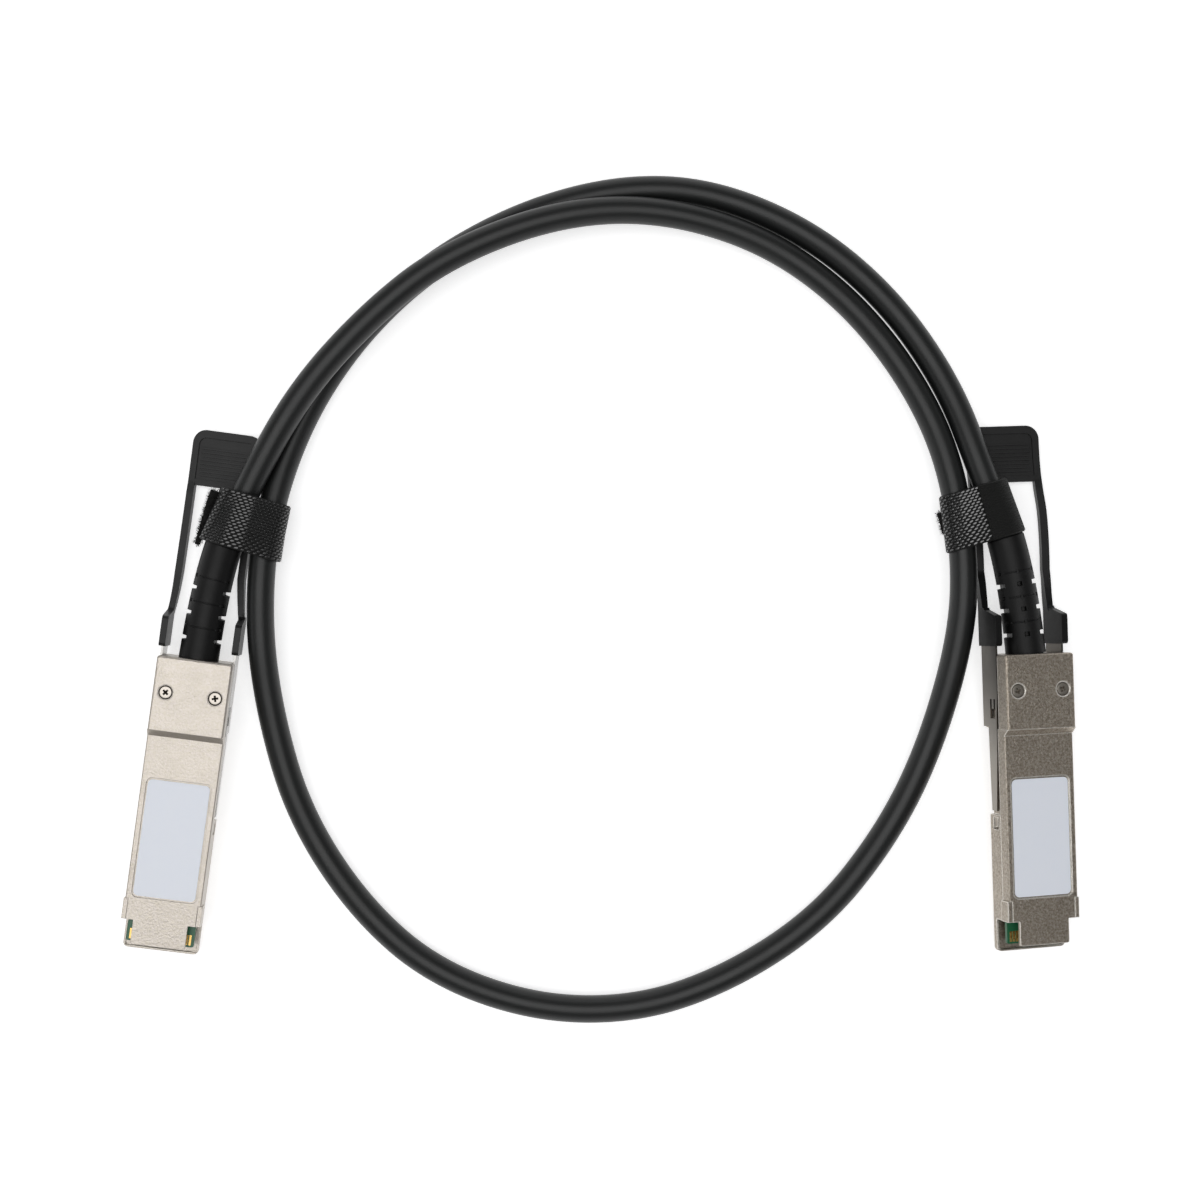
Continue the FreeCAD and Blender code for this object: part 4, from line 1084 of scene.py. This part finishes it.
def pile_tree(material):
    """Scatters short bent fibres over a napped pad."""
    sizes = [(title, "Float") for title in ("Density", "Fibre length", "Fibre width")]
    tree, given = open_tree("loop_pile", [("Pad", "Geometry"), *sizes], "Fibres")
    scatter = add_node(tree, "GeometryNodeDistributePointsOnFaces", inputs={"Seed": 11},
                       links={"Mesh": (given, "Pad"), "Density": (given, "Density")})
    fibre = add_node(tree, "GeometryNodeMeshCone",
                     inputs={"Vertices": 4, "Radius Top": 0.25, "Radius Bottom": 0.5, "Depth": 1.0})
    size = add_node(tree, "ShaderNodeCombineXYZ",
                    links={"X": (given, "Fibre width"), "Y": (given, "Fibre width"),
                           "Z": (given, "Fibre length")})
    lean = add_node(tree, "FunctionNodeRandomValue", {"data_type": "FLOAT_VECTOR"},
                    {0: (-1.1, -1.1, -3.1), 1: (1.1, 1.1, 3.1), "Seed": 5})
    tilt = add_node(tree, "FunctionNodeRotateRotation", {"rotation_space": "LOCAL"},
                    links={"Rotation": (scatter, "Rotation"), "Rotate By": (lean, 0)})
    grow = add_node(tree, "FunctionNodeRandomValue", {"data_type": "FLOAT"}, {2: 0.5, 3: 1.2, "Seed": 3})
    scale = add_node(tree, "ShaderNodeVectorMath", {"operation": "SCALE"},
                     links={0: (size, 0), "Scale": (grow, 1)})
    set_on = add_node(tree, "GeometryNodeInstanceOnPoints",
                      links={"Points": (scatter, "Points"), "Instance": (fibre, "Mesh"),
                             "Rotation": (tilt, "Rotation"), "Scale": (scale, 0)})
    return close_tree(tree, (set_on, "Instances"), material)


def joined(name, meshes):
    """One object from several plain meshes, each keeping its own material."""
    parts = [put_in_scene("%s_%d" % (name, k), mesh) for k, mesh in enumerate(meshes)]
    with bpy.context.temp_override(active_object=parts[0], selected_editable_objects=parts):
        bpy.ops.object.join()
    parts[0].name = parts[0].data.name = name
    return parts[0]


def woven(name, colour, dark, gloss, strength):
    """Woven nylon: ribs run with the tape, one every hook row, over a finer cross thread."""
    material, tree = new_material(name)
    on_tape = add_node(tree, "ShaderNodeUVMap", {"uv_map": "tape"})
    # A band texture of scale 1 has a period of pi / 10, so the ribs repeat once every hook row,
    # which is coarser than real thread, so that they show.
    ribs = add_node(tree, "ShaderNodeTexWave", {"wave_type": "BANDS", "bands_direction": "Y"},
                    {"Scale": math.pi / 10 / HOOK_ROW, "Distortion": 0.6, "Detail": 1.0,
                     "Detail Scale": 0.4 / HOOK_ROW}, {"Vector": (on_tape, 0)})
    threads = add_node(tree, "ShaderNodeTexWave", {"wave_type": "BANDS", "bands_direction": "X"},
                       {"Scale": math.pi / 10 / (HOOK_ROW * 0.55), "Distortion": 1.2},
                       {"Vector": (on_tape, 0)})
    weave = add_node(tree, "ShaderNodeMath", {"operation": "MULTIPLY_ADD"}, {1: 0.35},
                     {0: (threads, "Fac"), 2: (ribs, "Fac")})
    shade = add_node(tree, "ShaderNodeMix", {"data_type": "RGBA"},
                     inputs={6: linear(dark), 7: linear(colour)}, links={0: (weave, 0)})
    cover(tree, (shade, 2), (weave, 0), gloss, (weave, 0), (strength, 0.00012),
          {"IOR": 1.28, "Sheen Weight": 0.05, "Sheen Roughness": 0.5})
    return material


# The ground is dull woven nylon, the plain end finely ribbed; cut hooks are
# smooth and catch the light, less so where use has dulled them; the napped
# loop side drinks it.
woven_ground = woven("woven_nylon_ground", "#0E0E0D", "#080808", (0.6, 0.75), 0.5)
ribbed_end = woven("ribbed_nylon_end", "#111210", "#0A0A09", (0.5, 0.65), 0.8)
loop_pile = moulding("napped_nylon_loop", "#1C1C1A", "#0E0E0D", (0.7, 0.9), 6.0, 1.0, 1.4)
fresh_hooks = moulding("moulded_nylon_hooks", "#0E0E0D", "#090908", (0.14, 0.20), 3.0, 0.05, 1.95, 0.00001)
worn_hooks = moulding("worn_nylon_hooks", "#0E0E0D", "#090908", (0.18, 0.26), 3.0, 0.05, 1.75, 0.00001)
hooks = {"a": hook_tree(worn_hooks), "b": hook_tree(fresh_hooks)}
pile = pile_tree(loop_pile)

for tag in ("a", "b"):
    is_a = tag == "a"
    left, right, ahead = strands_at(tag)
    place = section_round(left, right, ahead)
    width = (right(0) - left(0)).length
    low, high = -STRAP_LENGTH / 2, STRAP_LENGTH / 2
    r = STRAP_RADIUS
    # Round the section from its underside: over the left strand, down over the right one and back.
    if is_a:
        corners = [(0.0020, -r, 0), (-0.0044, -r, 0.0024), (-0.0044, 0.0020, 0.0019),
                   (0.0007, 0.0054, 0.0075), (width + r - 0.0008, r - 0.0001, 0.0026),
                   (width + r, -r, 0.0028), (width * 0.4, -r, 0)]
    else:
        corners = [(0.0030, -r, 0), (-r, -r, 0.0033), (-r, r - 0.0010, 0.0024),
                   (0.0018, r + 0.0010, 0.0060), (width + r, r + 0.0002, 0.0032),
                   (width + r, -r, 0.0033), (width * 0.4, -r, 0)]
    inner = tape_line(corners)
    band, band_run = tape_mesh("band", place, inner, low, high, WOVEN_WANDER, woven_ground)

    # The lap: on strap a it covers nearly the whole turn, on strap b only the right strand.
    if is_a:
        top = next(k for k, (_, normal) in enumerate(inner) if normal.y > 0.9)
        covered = inner[top // 3:]
    else:
        covered = [(p, normal) for p, normal in inner
                   if (p.x >= LAP_BELOW_SHARE * width if normal.y < -0.9 else p.x > LAP_TOP_SHARE * width)]
    outer = [(p + normal * (STRAP_THICK + LAP_GAP), normal) for p, normal in covered]
    lap, lap_run = tape_mesh("lap", place, outer, low, high, WOVEN_WANDER,
                             woven_ground if is_a else ribbed_end)

    # The loose end sticks out further at its upper corner.
    root = min(p.x for p, _ in inner) - (2 if is_a else 1) * STRAP_THICK + FLAP_ROOT
    flap_low, flap_high = FLAP_SPANS[tag]

    def flap_place(x, y, z):
        share = 0.45 + 0.55 * (z - flap_low) / (flap_high - flap_low)
        return place(root + (x - root) * share, y, z)

    reach = FLAP_REACHES[tag] + FLAP_ROOT
    shares = [k / FLAP_STEPS for k in range(FLAP_STEPS + 1)]
    tail = [(Vector((root - reach * share, -FLAP_DROP + FLAP_CURL * math.sin(share * 2.5))),
             Vector((0.05, 1.0)).normalized()) for share in shares]
    flap, _ = tape_mesh("flap", flap_place, tail, flap_low, flap_high, RAGGED_WANDER, loop_pile)
    fuzz = grown("fuzz", flap.copy(), pile, PILE_SHAPE)
    for tape in (band, lap, flap):
        weld(tape)

    # The hooked face is the lap of strap a, and the bare left of the turn of strap b.
    if is_a:
        points = hook_points(place, outer, lap_run, lap_run[-1] - HOOK_MARGIN)
    else:
        lap_edge = next(k for k, (p, normal) in enumerate(inner)
                        if normal.y > 0.5 and p.x > HOOK_END_SHARE * width)
        points = hook_points(place, inner, band_run, band_run[lap_edge])
    on_tape = grown("hooks", points, hooks[tag], HOOK_SHAPE)
    strap = joined("hook_and_loop_strap_" + tag, [band, lap, flap, fuzz, on_tape])
    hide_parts("strap_" + tag)
    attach(strap, "cable_assembly")
